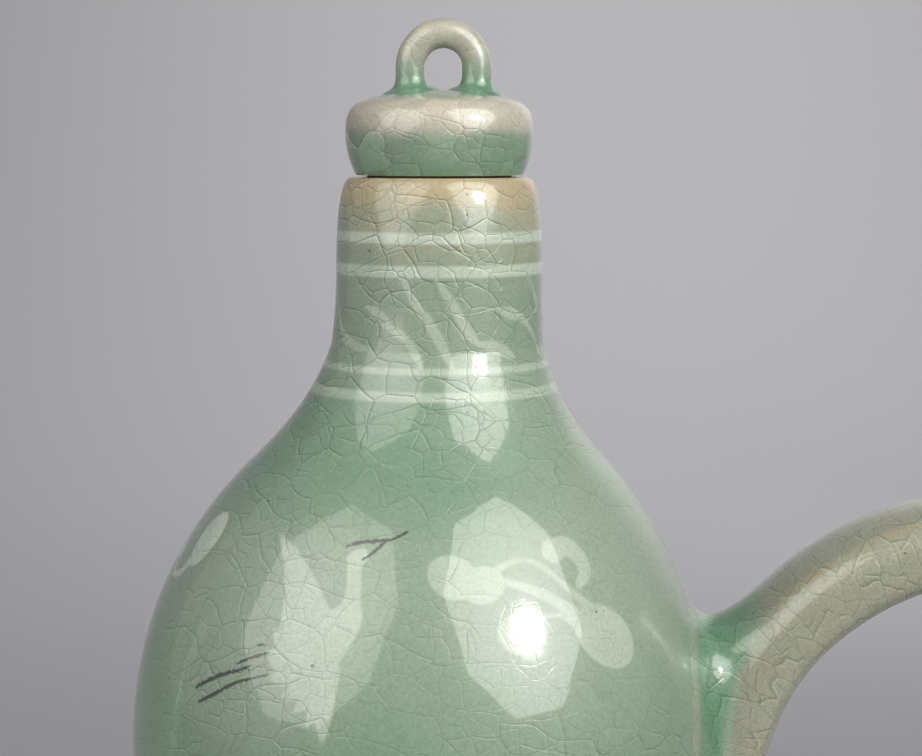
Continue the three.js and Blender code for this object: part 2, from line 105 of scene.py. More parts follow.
POUR_HOLE_RADIUS = 8.0
PAD_THICKNESS = 0.5

RIM_HEIGHT = UPPER_BELLY_HEIGHT + RIM_RISE
NECK_JOINT_HEIGHT = UPPER_BELLY_HEIGHT + NECK_JOINT_RISE
BORE_RADIUS = NECK_RADIUS - NECK_WALL

# A luted foot sinks this far into the wall, so that no light passes under its edge, and this
# many rings close its hidden seat
SINK = 0.04
CAP_STEPS = 5

# How far a luted root's curve holds to its foot and to the bare rod, as shares of its size
ROOT_BEND = 0.62

# The CAD's flat facets fall this far short of its curves at the handle's and the spout's reach
FACET_EASE = 0.08


# Curves

def bezier(p0, p1, p2, p3, steps=80):
    t = np.linspace(0, 1, steps + 1)[:, None]
    p0, p1, p2, p3 = (np.array(p, float) for p in (p0, p1, p2, p3))
    return (1 - t) ** 3 * p0 + 3 * (1 - t) ** 2 * t * p1 + 3 * (1 - t) * t * t * p2 + t ** 3 * p3


def joined(*runs):
    """Runs of points end to end, without their doubled ends."""
    return np.vstack([runs[0]] + [run[1:] for run in runs[1:]])


def lengths(points):
    return np.concatenate([[0], np.cumsum(np.linalg.norm(np.diff(points, axis=0), axis=1))])


def spaced(points, spacing):
    """The same line with its points an even distance apart."""
    along = lengths(points)
    places = np.linspace(0, along[-1], max(2, int(round(along[-1] / spacing)) + 1))
    return np.stack([np.interp(places, along, points[:, k]) for k in range(points.shape[1])], axis=1)


def smoothstep(x, low, high):
    t = np.clip((x - low) / (high - low), 0, 1)
    return t * t * (3 - 2 * t)


def band(x, first, last):
    """1 between two soft edges, each given by where it starts and ends, and 0 outside them."""
    return smoothstep(x, *first) * (1 - smoothstep(x, *last))


def unit(vectors):
    return vectors / np.maximum(np.linalg.norm(vectors, axis=-1, keepdims=True), 1e-9)


# The outside of the pot, from the edge of its base to the flat of its lip

def outside_line():
    belly, bulb, waist = LOWER_BELLY_RADIUS, UPPER_BELLY_RADIUS, WAIST_HEIGHT
    down, up, neck = LOWER_BELLY_HEIGHT, UPPER_BELLY_HEIGHT, UPPER_BELLY_HEIGHT + NECK_RISE
    return joined(
        bezier((FOOT_RADIUS, FOOT_HEIGHT), (belly * 0.78, down * 0.21), (belly, down * 0.58),
               (belly, down)),
        bezier((belly, down), (belly, down + 30), (belly * 0.7, waist - 24),
               (WAIST_RADIUS + 10.5, waist - 13.5)),
        bezier((WAIST_RADIUS + 10.5, waist - 13.5), (WAIST_RADIUS + 4, waist - 9.6),
               (WAIST_RADIUS, waist - 5.5), (WAIST_RADIUS, waist)),
        bezier((WAIST_RADIUS, waist), (WAIST_RADIUS, waist + 9), (bulb, up - 21), (bulb, up)),
        bezier((bulb, up), (bulb, up + 18.2), (SHOULDER_RADIUS + 8.2, up + SHOULDER_RISE - 8.5),
               (SHOULDER_RADIUS, up + SHOULDER_RISE)),
        bezier((SHOULDER_RADIUS, up + SHOULDER_RISE), (SHOULDER_RADIUS - 3.4, up + SHOULDER_RISE + 3.6),
               (NECK_RADIUS + 2.8, neck - 8.1), (NECK_RADIUS + 0.45, neck)),
        bezier((NECK_RADIUS + 0.45, neck), (NECK_RADIUS + 0.1, neck + 3.5), (NECK_RADIUS, neck + 7),
               (NECK_RADIUS, neck + 11)),
        bezier((NECK_RADIUS, neck + 11), (NECK_RADIUS, RIM_HEIGHT - 7.1),
               (NECK_RADIUS - 0.35, RIM_HEIGHT - 0.7), (NECK_RADIUS - 2, RIM_HEIGHT)),
    )


OUTSIDE = outside_line()
ALONG = lengths(OUTSIDE)
BELLY_ALONG = np.interp(UPPER_BELLY_HEIGHT, OUTSIDE[:, 1], ALONG)


def radius_at(height):
    return np.interp(height, OUTSIDE[:, 1], OUTSIDE[:, 0])


def climb_at(height):
    """The way up the wall from the upper gourd's belly, measured on the wall."""
    return np.interp(height, OUTSIDE[:, 1], ALONG) - BELLY_ALONG


def lean_at(height):
    return NECK_LEAN * smoothstep(height, UPPER_BELLY_HEIGHT + LEAN_START_RISE,
                                  UPPER_BELLY_HEIGHT + LEAN_END_RISE)


def inside_of(points):
    """The inside of the wall, which thins towards the neck."""
    normal = line_normals(points)
    wall = WALL + (NECK_WALL - WALL) * smoothstep(points[:, 1], UPPER_BELLY_HEIGHT, NECK_JOINT_HEIGHT)
    return points - normal * wall[:, None]


def line_normals(points):
    along = unit(np.gradient(points, axis=0))
    return np.stack([along[:, 1], -along[:, 0]], axis=1)


def stretch(points, low, high):
    """The part of a rising line between two heights, cut exactly at both."""
    keep = (points[:, 1] > low + 0.01) & (points[:, 1] < high - 0.01)
    ends = [[np.interp(h, points[:, 1], points[:, 0]), h] for h in (low, high)]
    return np.vstack([ends[:1], points[keep], ends[1:]])


# Meshes

def turned_rings(profile, around):
    """A ring of points for each point of a profile. A point on the axis stays one point."""
    angle = np.arange(around) * 2 * math.pi / around
    rings = []
    for radius, height in profile:
        if radius < 1e-6:
            rings.append(np.array([[0, 0, height]]))
        else:
            rings.append(np.stack([radius * np.cos(angle), radius * np.sin(angle),
                                   np.full(around, height)], axis=1))
    return rings


def faces_over(rings, endless):
    """Faces that join each ring to the next one. A ring of one point closes an end."""
    starts = np.cumsum([0] + [len(ring) for ring in rings])
    faces = []
    for k in range(len(rings) if endless else len(rings) - 1):
        upper = (k + 1) % len(rings)
        count, above = len(rings[k]), len(rings[upper])
        i = np.arange(max(count, above))
        j = (i + 1) % len(i)
        here, there = starts[k], starts[upper]
        if count == 1:
            faces += np.stack([np.full(len(i), here), there + j, there + i], axis=1).tolist()
        elif above == 1:
            faces += np.stack([here + i, here + j, np.full(len(i), there)], axis=1).tolist()
        else:
            faces += np.stack([here + i, here + j, there + j, there + i], axis=1).tolist()
    return faces


def mesh_piece(name, rings, material, body, nodes, endless=False, sharp=50, lean=False):
    """A smooth closed skin over rings of points, riding on a CAD body in place of CAD nodes."""
    points = np.vstack(rings)
    if lean:
        points[:, 0] += lean_at(points[:, 2])
    mesh = bpy.data.meshes.new(name)
    mesh.from_pydata((points * MM).tolist(), [], faces_over(rings, endless))
    face_outward(mesh)
    mesh.shade_smooth()
    mesh.set_sharp_from_angle(angle=math.radians(sharp))
    mesh.materials.append(material)
    piece = bpy.data.objects.new(name, mesh)
    bpy.context.scene.collection.objects.link(piece)
    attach(piece, body)
    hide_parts(*nodes)
    return piece


def face_outward(mesh):
    """Turns a closed skin over if its rings ran the way that leaves its faces pointing in."""
    skin = bmesh.new()
    skin.from_mesh(mesh)
    if skin.calc_volume(signed=True) < 0:
        mesh.flip_normals()
    skin.free()


def true_normals(piece, outer, around):
    """Gives the outer rings the normals of the whole outside, so that joined pieces meet unseen."""
    mesh = piece.data
    smooth = line_normals(OUTSIDE)
    normal = np.stack([np.interp(outer[:, 1], OUTSIDE[:, 1], smooth[:, k]) for k in (0, 1)], axis=1)
    slant = (lean_at(outer[:, 1] + 0.1) - lean_at(outer[:, 1] - 0.1)) / 0.2
    angle = np.arange(around) * 2 * math.pi / around
    across = normal[:, None, 0] * np.cos(angle)
    ring = unit(np.stack([across, normal[:, None, 0] * np.sin(angle),
                          normal[:, None, 1] - slant[:, None] * across], axis=-1)).reshape(-1, 3)
    corners = np.zeros(len(mesh.loops), int)
    mesh.loops.foreach_get("vertex_index", corners)
    face_of = np.repeat(np.arange(len(mesh.polygons)), [p.loop_total for p in mesh.polygons])
    on_skin = face_of < (len(outer) - 1) * around
    normals = np.zeros((len(corners), 3))
    normals[on_skin] = ring[corners[on_skin]]
    mesh.normals_split_custom_set(normals.tolist())


def store(piece, **values):
    """Numbers on the mesh that the glaze reads, such as where its slip, pools, painted shade and cracks
    lie.
    """
    for name, value in values.items():
        value = np.asarray(value, np.float32)
        kind = "FLOAT" if value.ndim == 1 else "FLOAT_VECTOR"
        layer = piece.data.attributes.new(name, kind, "POINT")
        layer.data.foreach_set("value" if value.ndim == 1 else "vector", value.ravel())


def points_of(piece):
    flat = np.zeros(len(piece.data.vertices) * 3, np.float32)
    piece.data.vertices.foreach_get("co", flat)
    return flat.reshape(-1, 3).astype(float) / MM


# Walls that other pieces are luted on to

class TurnedWall:
    """A turned outside: how far points are off it, its normal there, and the seat on it."""

    def __init__(self, profile, leaning=False):
        self.profile = spaced(profile, 0.5)
        self.normals = line_normals(self.profile)
        self.leaning = leaning

    def nearest(self, points):
        shift = lean_at(points[:, 2]) if self.leaning else np.zeros(len(points))
        flat = np.stack([np.hypot(points[:, 0] - shift, points[:, 1]), points[:, 2]], axis=1)
        pick = np.argmin(((flat[:, None] - self.profile[None]) ** 2).sum(-1), axis=1)
        normal = self.normals[pick]
        off = ((flat - self.profile[pick]) * normal).sum(-1)
        turn = np.arctan2(points[:, 1], points[:, 0] - shift)
        return off, flat - normal * off[:, None], normal, turn

    def off(self, points):
        return self.nearest(points)[0]

    def normal(self, points):
        _, _, normal, turn = self.nearest(points)
        return np.stack([normal[:, 0] * np.cos(turn), normal[:, 0] * np.sin(turn), normal[:, 1]], axis=1)

    def seat(self, points, height):
        _, foot, normal, turn = self.nearest(points)
        out = foot + normal * height
        shift = lean_at(out[:, 1]) if self.leaning else 0
        return np.stack([out[:, 0] * np.cos(turn) + shift, out[:, 0] * np.sin(turn), out[:, 1]], axis=1)


class PlacedWall:
    """Another wall seen from a piece's own frame."""

    def __init__(self, wall, matrix):
        self.wall, self.matrix, self.back = wall, matrix, np.linalg.inv(matrix)

    def outward(self, points):
        return points @ self.matrix[:3, :3].T + self.matrix[:3, 3]

    def off(self, points):
        return self.wall.off(self.outward(points))

    def normal(self, points):
        return self.wall.normal(self.outward(points)) @ self.back[:3, :3].T

    def seat(self, points, height):
        return self.wall.seat(self.outward(points), height) @ self.back[:3, :3].T + self.back[:3, 3]


class Line:
    """A centre line in the XZ plane, read by the share of its length."""

    def __init__(self, *runs):
        self.points = spaced(joined(*runs), 0.25)
        self.along = lengths(self.points)
        self.length = self.along[-1]
        self.tangents = unit(np.gradient(self.points, axis=0))

    def read(self, values, share):
        place = np.clip(share, 0, 1) * self.length
        return np.stack([np.interp(place, self.along, values[:, k]) for k in (0, 1)], axis=-1)

    def section(self, share, across, outward):
        """Points of a section that stands square to the line."""
        share = np.broadcast_to(share, np.shape(across))
        centre, along = self.read(self.points, share), unit(self.read(self.tangents, share))
        return np.stack([centre[..., 0] - along[..., 1] * outward, across,
                         centre[..., 1] + along[..., 0] * outward], axis=-1)

    def unbent(self, points):
        """Where points would be if the line were straight: along it, across it and out from it."""
        flat, coarse = points[:, [0, 2]], self.points[::4]
        pick = 4 * np.argmin(((flat[:, None] - coarse[None]) ** 2).sum(-1), axis=1)
        off, tangent = flat - self.points[pick], self.tangents[pick]
        along = self.along[pick] + (off * tangent).sum(-1)
        out = off[:, 1] * tangent[:, 0] - off[:, 0] * tangent[:, 1]
        return np.stack([along, points[:, 1], out], axis=1)


def luted_root(line, strand, wall, inside, outside, fillets, steps):
    """The end of a tube whose strands bend out on to a wall, from the footprint up.
    strand(shares) gives one point on each strand, and inside and outside are shares of the line
    that lie in the wall and clear of it. Returns the rings and where the bare tube starts."""
    low, high = np.full(len(fillets), float(inside)), np.full(len(fillets), float(outside))
    for _ in range(26):
        middle = (low + high) / 2
        buried = wall.off(strand(middle)) < 0
        low, high = np.where(buried, middle, low), np.where(buried, high, middle)
    leaving = (low + high) / 2
    forward = math.copysign(1, outside - inside)
    corner = strand(leaving)
    start = leaving + forward * fillets / line.length
    top = strand(start)
    stem = unit(strand(start + forward * 0.002) - strand(start - forward * 0.002))
    size = fillets[:, None]
    foot = wall.seat(corner + unit(corner - corner.mean(0)) * size, -SINK)
    normal = wall.normal(foot)
    inward = corner - foot
    inward -= normal * (inward * normal).sum(-1, keepdims=True)
    reach = np.linalg.norm(corner - foot, axis=-1, keepdims=True)
    bend_low = foot + unit(inward) * reach * ROOT_BEND
    bend_high = top - stem * size * ROOT_BEND
    rings = []
    for s in np.linspace(0, 1, steps + 1)[:-1]:
        ring = ((1 - s) ** 3 * foot + 3 * (1 - s) ** 2 * s * bend_low
                + 3 * (1 - s) * s * s * bend_high + s ** 3 * top)
        least = 4 * PAD_THICKNESS * s * (1 - s) - SINK * (1 - s)
        spare = wall.off(ring) - least
        eased = (spare + np.sqrt(spare ** 2 + (s * (1 - s)) ** 2)) / 2
        rings.append(ring + wall.normal(ring) * (eased - spare)[:, None])
    return rings, start


def seat_cap(foot, wall):
    """The hidden end of a luted piece, on the wall under it, from its middle out."""
    middle = foot.mean(0)
    rings = [wall.seat(middle[None], -SINK * 3)]
    for s in np.linspace(0, 1, CAP_STEPS + 1)[1:-1]:
        rings.append(wall.seat(middle + (foot - middle) * s, -SINK * 3))
    return rings


def luted_rod(line, strand, wall, spans, fillets, spacing, steps):
    """A solid rod or strap that is luted to a wall at both ends. Each span is the two shares of the
    line between which that end leaves the wall, and spacing is how far apart its rings are."""
    first, start = luted_root(line, strand, wall, *spans[0], fillets[0], steps)
    last, end = luted_root(line, strand, wall, *spans[1], fillets[1], steps)
    count = int(line.length / spacing)
    middle = [strand(start + (end - start) * s) for s in np.linspace(0, 1, count)]
    rings = seat_cap(first[0], wall) + first + middle + last[::-1]
    return rings + seat_cap(last[0], wall)[::-1]


# The white and black slip that is inlaid in the clay, as distances in millimetres. Where there is
# none, a distance is FAR, and a thin stroke's distance, side and half width are NO_STROKE.
FAR = 99.0
NO_STROKE = (99.0, 99.0, -9.0)


def round_spot(points, x, y, wide, high, turn=0.0):
    """Distance to an oval spot."""
    c, s = math.cos(math.radians(turn)), math.sin(math.radians(turn))
    dx, dy = points[:, 0] - x, points[:, 1] - y
    local = np.stack([c * dx + s * dy, -s * dx + c * dy], axis=1)
    size = np.array([wide, high])
    near, steep = np.linalg.norm(local / size, axis=1), np.linalg.norm(local / size ** 2, axis=1)
    return near * (near - 1) / np.maximum(steep, 1e-6)


def smooth_run(route, steps=7):
    """A smooth curve through a few points, each with a half width."""
    route = np.array(route, float)
    padded = np.vstack([2 * route[0] - route[1], route, 2 * route[-1] - route[-2]])
    out = []
    for k in range(len(route) - 1):
        a, b, c, d = padded[k:k + 4]
        t = np.linspace(0, 1, steps + 1)[:-1, None]
        out.append(0.5 * (2 * b + (c - a) * t + (2 * a - 5 * b + 4 * c - d) * t * t
                          + (3 * b - a - 3 * c + d) * t ** 3))
    return np.vstack(out + [route[-1:]])


def brush(points, route):
    """Distance to a brush stroke that swells and tapers along its route of (x, y, half width)."""
    best = np.full(len(points), FAR)
    run = smooth_run(route)
    for a, b in zip(run[:-1], run[1:]):
        edge = b[:2] - a[:2]
        share = np.clip(((points - a[:2]) @ edge) / max(edge @ edge, 1e-9), 0, 1)
        away = np.linalg.norm(points - a[:2] - share[:, None] * edge, axis=1)
        best = np.minimum(best, away - (a[2] + (b[2] - a[2]) * share))
    return best


def cut_line(points, route):
    """For a thin stroke: the signed way off its line, and its half width there, which both
    stay true between mesh points that are further apart than the stroke is wide."""
    best, side, half = (np.full(len(points), value) for value in NO_STROKE)
    run = smooth_run(route)
    for k, (a, b) in enumerate(zip(run[:-1], run[1:])):
        edge = b[:2] - a[:2]
        size = max(np.linalg.norm(edge), 1e-6)
        share = ((points - a[:2]) @ edge) / size ** 2
        inside = np.clip(share, 0, 1)
        away = np.linalg.norm(points - a[:2] - inside[:, None] * edge, axis=1)
        over = np.maximum(0, share - 1) * (k == len(run) - 2) + np.maximum(0, -share) * (k == 0)
        offset = points - a[:2]
        signed = (edge[0] * offset[:, 1] - edge[1] * offset[:, 0]) / size
        closer = away < best
        best = np.where(closer, away, best)
        side = np.where(closer, signed, side)
        half = np.where(closer, a[2] + (b[2] - a[2]) * inside - over * size, half)
    return best, side, half


# A crane in flight: its head is up to the right, one wing up and one down, and its legs trail

def crane_white(p):
    feathers = [
        [(-10.2, 12.0, 0.15), (-7.2, 9.0, 1.3), (-4.2, 4.5, 2.4), (-1.5, 0.5, 2.6)],
        [(-7.4, 7.6, 0.25), (-5.2, 4.0, 1.2), (-3.0, 0.0, 1.6)],
        [(-6.4, 5.0, 0.2), (-4.9, 2.0, 1.3), (-2.5, -1.5, 1.6)],
        [(-6.4, 2.2, 0.2), (-4.9, -0.3, 1.3), (-2.5, -3.0, 1.7)],
        [(-7.2, -1.0, 0.2), (-5.4, -2.4, 1.3), (-2.5, -4.0, 1.8)],
        [(-7.6, -4.0, 0.3), (-5.4, -4.9, 1.5), (-2.0, -5.0, 2.0)],
        [(-6.9, -7.2, 0.2), (-4.6, -6.9, 1.2), (-1.0, -5.5, 2.0)],
        [(-4.6, -9.4, 0.2), (-2.9, -8.6, 1.1), (0.0, -5.5, 2.0)],
        [(-2.6, -11.2, 0.2), (-1.3, -9.6, 1.0), (0.8, -5.5, 1.6)],
        [(-0.8, -13.0, 0.2), (0.2, -10.6, 1.0), (1.4, -5.5, 1.4)],
        [(1.5, -15.3, 0.15), (1.5, -11.6, 1.1), (1.9, -5.5, 1.3)],
    ]
    body = [(-1.2, -5.0, 2.6), (0.4, -1.8, 3.4), (2.6, 0.8, 2.4), (3.1, 3.2, 1.3),
            (2.9, 6.0, 1.0), (2.4, 8.3, 1.0), (2.7, 9.6, 1.15)]
    best = brush(p, body)
    for feather in feathers:
        best = np.minimum(best, brush(p, feather))
    return np.minimum(best, round_spot(p, 2.5, 9.7, 1.6, 1.15, 25))


CRANE_BLACK = [
    [[(0.3, 11.0, 0.13), (2.4, 11.75, 0.24), (4.8, 12.1, 0.26), (6.3, 12.3, 0.14), (8.2, 13.4, 0.18)],
     [(-12.5, -6.2, 0.1), (-9.8, -4.9, 0.2), (-7.4, -4.1, 0.12)],
     [(-18.9, -12.2, 0.18), (-15.5, -10.4, 0.26), (-12.4, -8.7, 0.2), (-7.2, -6.9, 0.1)]],
    [[(3.2, 9.3, 0.12), (4.5, 10.5, 0.22), (5.6, 12.0, 0.2)],
     [(-19.8, -10.4, 0.18), (-15.9, -8.4, 0.26), (-12.2, -7.0, 0.2), (-9.8, -6.0, 0.1)],
     [(-9.6, -3.4, 0.08), (-8.2, -3.1, 0.14)]],
]


def cloud_white(p):
    """A mushroom-headed cloud: round lobes on a curling stem."""
    lobes = [
        round_spot(p, -12.3, 3.1, 3.3, 3.15),
        round_spot(p, -8.5, 1.9, 3.1, 2.5, 25),
        round_spot(p, -4.5, -4.9, 3.4, 2.8),
        round_spot(p, 8.4, -6.6, 5.6, 3.9, -38),
        brush(p, [(-6.2, 4.0, 0.5), (-2.9, 5.1, 0.35), (-0.2, 4.2, 0.4), (2.8, 1.2, 0.45),
                  (6.4, -2.6, 0.8)]),
        brush(p, [(-6.0, 2.4, 0.5), (-2.4, 1.0, 0.7), (1.0, -0.9, 0.75), (4.6, -3.6, 1.1)]),
        brush(p, [(-1.9, -3.0, 0.35), (1.0, -2.9, 0.35), (3.6, -4.4, 0.6)]),
        brush(p, [(2.4, 5.9, 1.75), (4.6, 6.3, 1.45), (6.4, 4.6, 1.25), (6.9, 2.4, 1.1), (5.6, 0.9, 0.75)]),
    ]
    return np.minimum.reduce(lobes)


def small_cloud_white(p):
    """One lobe with a short curled tail."""
    return np.minimum.reduce([
        round_spot(p, 0.0, 0.0, 3.2, 4.4, 12),
        brush(p, [(1.5, -3.5, 0.9), (3.6, -6.0, 0.6), (7.0, -6.6, 0.45), (9.4, -4.6, 0.6)]),
        round_spot(p, 9.8, -3.6, 1.9, 1.6),
    ])


# Where each figure lies: its turn round the axis in degrees, its climb from the upper belly in
# millimetres, its scale, and whether it is mirrored. The front is at -90, the handle at 0.
LOW_BELLY = climb_at(LOWER_BELLY_HEIGHT)
FIGURES = [
    ("crane", -109.4, 24.6, 1.0, False),
    ("cloud", -62.1, 28.5, 1.0, False),
    ("small_cloud", -155.6, 33.4, 1.0, True),
    ("cloud", 62.0, 27.0, 1.0, True),
    ("crane", 112.0, 24.0, 1.0, True),
    ("cloud", 168.0, 22.0, 0.9, False),
    ("small_cloud", -66.0, -1.0, 1.0, False),
    ("small_cloud", 86.0, -2.0, 1.0, True),
    ("crane", -112.0, LOW_BELLY + 22, 1.5, False),
    ("cloud", -64.0, LOW_BELLY + 26, 1.45, True),
    ("crane", -40.0, LOW_BELLY - 18, 1.5, True),
    ("cloud", -92.0, LOW_BELLY - 26, 1.45, False),
    ("crane", -142.0, LOW_BELLY - 20, 1.5, False),
    ("cloud", 64.0, LOW_BELLY + 24, 1.45, True),
    ("crane", 112.0, LOW_BELLY + 20, 1.5, True),
    ("crane", 40.0, LOW_BELLY - 20, 1.5, False),
    ("cloud", 92.0, LOW_BELLY - 26, 1.45, True),
    ("crane", 142.0, LOW_BELLY - 18, 1.5, True),
    ("cloud", 0.0, LOW_BELLY - 22, 1.3, False),
    ("small_cloud", 176.0, LOW_BELLY - 30, 1.6, False),
]
WHITE = {"crane": crane_white, "cloud": cloud_white, "small_cloud": small_cloud_white}

# How white the slip shows through the glaze, from 0 to 1
CHALK = {"crane": 0.6, "cloud": 0.54, "small_cloud": 1.0, "ring": 0.9, "low_ring": 0.55,
         "blade": 0.55}

# No figure reaches further than this from its middle, before it is scaled
FIGURE_REACH = 24.0

# White rings, as (rise above the upper belly, half width). Those above TOP_RINGS_RISE are whiter.
TOP_RINGS_RISE = 60.0
NECK_RINGS = [(73.15, 0.8), (68.6, 0.85), (55.05, 0.5), (51.7, 0.68)]
WAIST_RINGS = [(-24.5, 0.6), (-27.5, 0.5), (-38.5, 0.6)]
FOOT_RINGS = [(-140.0, 0.7), (-144.5, 0.5)]

# The blades of grass on the neck, in a clump at the front and one behind, between two climbs on
# the wall. A blade's points are (way round from its clump's middle, climb, half width).
CLUMPS = (-90.0, 90.0)
BLADES_FROM = 58.0
BLADES_TO = 80.0
NECK_BLADES = [
    [(-5.0, 75.0, 0.35), (-3.2, 72.0, 0.7), (-1.2, 69.2, 0.75), (0.4, 66.6, 0.75), (1.6, 64.4, 0.6),
     (2.6, 62.6, 0.3)],
    [(-0.3, 75.0, 0.3), (1.6, 72.3, 0.7), (3.2, 69.6, 0.7), (4.7, 67.4, 0.65), (6.0, 66.0, 0.35)],
    [(5.6, 66.3, 0.3), (8.2, 65.7, 0.85), (10.2, 65.0, 0.8), (12.0, 63.9, 0.3)],
    [(-11.0, 71.3, 0.2), (-9.0, 70.4, 0.75), (-7.0, 69.3, 0.3)],
    [(-8.6, 69.0, 0.2), (-6.0, 68.0, 0.6), (-4.0, 66.6, 0.6), (-2.7, 64.6, 0.6), (-1.7, 62.4, 0.3)],
    [(-18.5, 71.0, 0.25), (-16.6, 67.6, 0.5), (-13.4, 65.8, 0.75), (-9.6, 65.2, 0.3)],
    [(8.4, 70.9, 0.25), (11.0, 70.2, 0.9), (13.6, 69.3, 0.5), (16.4, 67.0, 0.35), (18.9, 64.0, 0.25)],
    [(14.8, 75.0, 0.3), (17.0, 72.3, 0.5), (17.8, 70.6, 0.35), (15.0, 69.2, 0.2)],
]


def way_round(turn, degrees):
    """How far a turn lies past an angle in degrees, from half a turn before it to half after."""
    return (turn - math.radians(degrees) + math.pi) % (2 * math.pi) - math.pi


def inlay_on(points):
    """The white and black slip at points on the gourd's outside."""
    shift = lean_at(points[:, 2])
    turn = np.arctan2(points[:, 1], points[:, 0] - shift)
    radius = np.hypot(points[:, 0] - shift, points[:, 1])
    on_skin = radius > radius_at(points[:, 2]) - 0.3
    climb = climb_at(points[:, 2])
    rise = points[:, 2] - UPPER_BELLY_HEIGHT
    slip = np.full(len(points), FAR)
    chalk = np.where(rise > TOP_RINGS_RISE, CHALK["ring"], CHALK["low_ring"])
    inks = [np.tile(NO_STROKE, (len(points), 1)) for _ in CRANE_BLACK]
    for height, half in NECK_RINGS + WAIST_RINGS + FOOT_RINGS:
        slip = np.minimum(slip, np.abs(rise - height) - half)
    for kind, degrees, middle, scale, mirrored in FIGURES:
        local = np.stack([way_round(turn, degrees) * radius, climb - middle], axis=1) / scale
        if mirrored:
            local[:, 0] *= -1
        near = on_skin & (np.abs(local).max(axis=1) < FIGURE_REACH)
        white = WHITE[kind](local[near]) * scale
        chalk[near] = np.where(white < slip[near], CHALK[kind], chalk[near])
        slip[near] = np.minimum(slip[near], white)
        if kind == "crane":
            for ink, strokes in zip(inks, CRANE_BLACK):
                draw_ink(ink, near, local[near], strokes, scale)
    blades = on_skin & (climb > BLADES_FROM) & (climb < BLADES_TO)
    for blade in NECK_BLADES:
        for middle in CLUMPS:
            way = way_round(turn[blades], middle) * radius[blades]
            stroke = brush(np.stack([way, climb[blades]], axis=1), blade)
            chalk[blades] = np.where(stroke < slip[blades], CHALK["blade"], chalk[blades])
            slip[blades] = np.minimum(slip[blades], stroke)
    return {"slip": slip, "chalk": chalk, "ink_a": inks[0], "ink_b": inks[1]}


def draw_ink(ink, near, local, strokes, scale):
    """Adds strokes to one layer of ink, where they are nearer than what it holds."""
    held = ink[near]
    for stroke in strokes:
        best, side, half = cut_line(local, stroke)
        closer = best * scale < held[:, 0]
        held[closer] = np.stack([best, side, half], axis=1)[closer] * scale
    ink[near] = held


# Materials

def linear(hex_colour):
    """An sRGB hex colour as linear numbers."""
    values = [int(hex_colour[k:k + 2], 16) / 255 for k in (1, 3, 5)]
    return tuple(v / 12.92 if v <= 0.04045 else ((v + 0.055) / 1.055) ** 2.4 for v in values) + (1.0,)


def put(tree, kind, inputs=None, output=0, **settings):
    """Adds a node with its settings and links, and returns one of its outputs if it has any."""
    node = tree.nodes.new("ShaderNode" + kind)
    for name, value in settings.items():
        setattr(node, name, value)
    for socket, value in (inputs or {}).items():
        if isinstance(value, bpy.types.NodeSocket):
            tree.links.new(value, node.inputs[socket])
        else:
            node.inputs[socket].default_value = value
    return node.outputs[output] if node.outputs else None


def new_material(name):
    material = bpy.data.materials.new(name)
    material.use_nodes = True
    material.node_tree.nodes.clear()
    return material, material.node_tree


# Colours of the glaze, the slip and the clay
GLAZE_GREEN = "#7A9178"
GLAZE_GREY = "#849381"
# The pooled green also paints shade on the lower gourd
GLAZE_POOLED_AND_SHADE = "#3C7653"
GLAZE_THIN = "#A59876"
STRAP_THIN = "#8D8B77"
GLAZE_EDGE = "#A08B5C"
LID_THIN = "#AEA898"
WHITE_SLIP = "#B2BDAD"
BLACK_SLIP = "#26241E"
CRAZE_STAIN = "#56634C"
IRON_SPECK = "#3A3022"
BARE_CLAY = "#A98F70"
BARE_CLAY_DARK = "#8C6F50"

# Real sizes of what the glaze and the clay show, in millimetres
WAVE = 13.0
CLOUDING = 34.0
MOTTLE = 5.0
GRAIN = 0.42
SPECK_SPACING = 3.4
RIPPLE = 3.2
CLAY_TONE = 4.0
GROG = 0.5

# How high the glaze's and the clay's relief stands, in millimetres
WAVE_HEIGHT = 0.1
RIPPLE_HEIGHT = 0.012
CRACK_DEPTH = 0.018
GRAIN_HEIGHT = 0.0011
GROG_HEIGHT = 0.05

# Plates of the crackle are this much wider than high on the gourd, and the painted light and shade
# on a plate beside a crack differ by this share
PLATE_SQUASH = 1.3
PAINTED_GLANCE = 0.45

# The largest iron speck, as a share of the specks' spacing, and how dark it is
SPECK_RADIUS = 0.075
SPECK_DARK = 0.7

# The glass of the glaze, and the grained body that shows through it
GLASS_IOR = 1.6
BODY_IOR = 1.5
BODY_ROUGHNESS = 0.42
CLAY_ROUGHNESS = 0.8


def scale_for(size):
    """The texture scale that gives features of a size in millimetres."""
    return 1.0 / (size * MM)


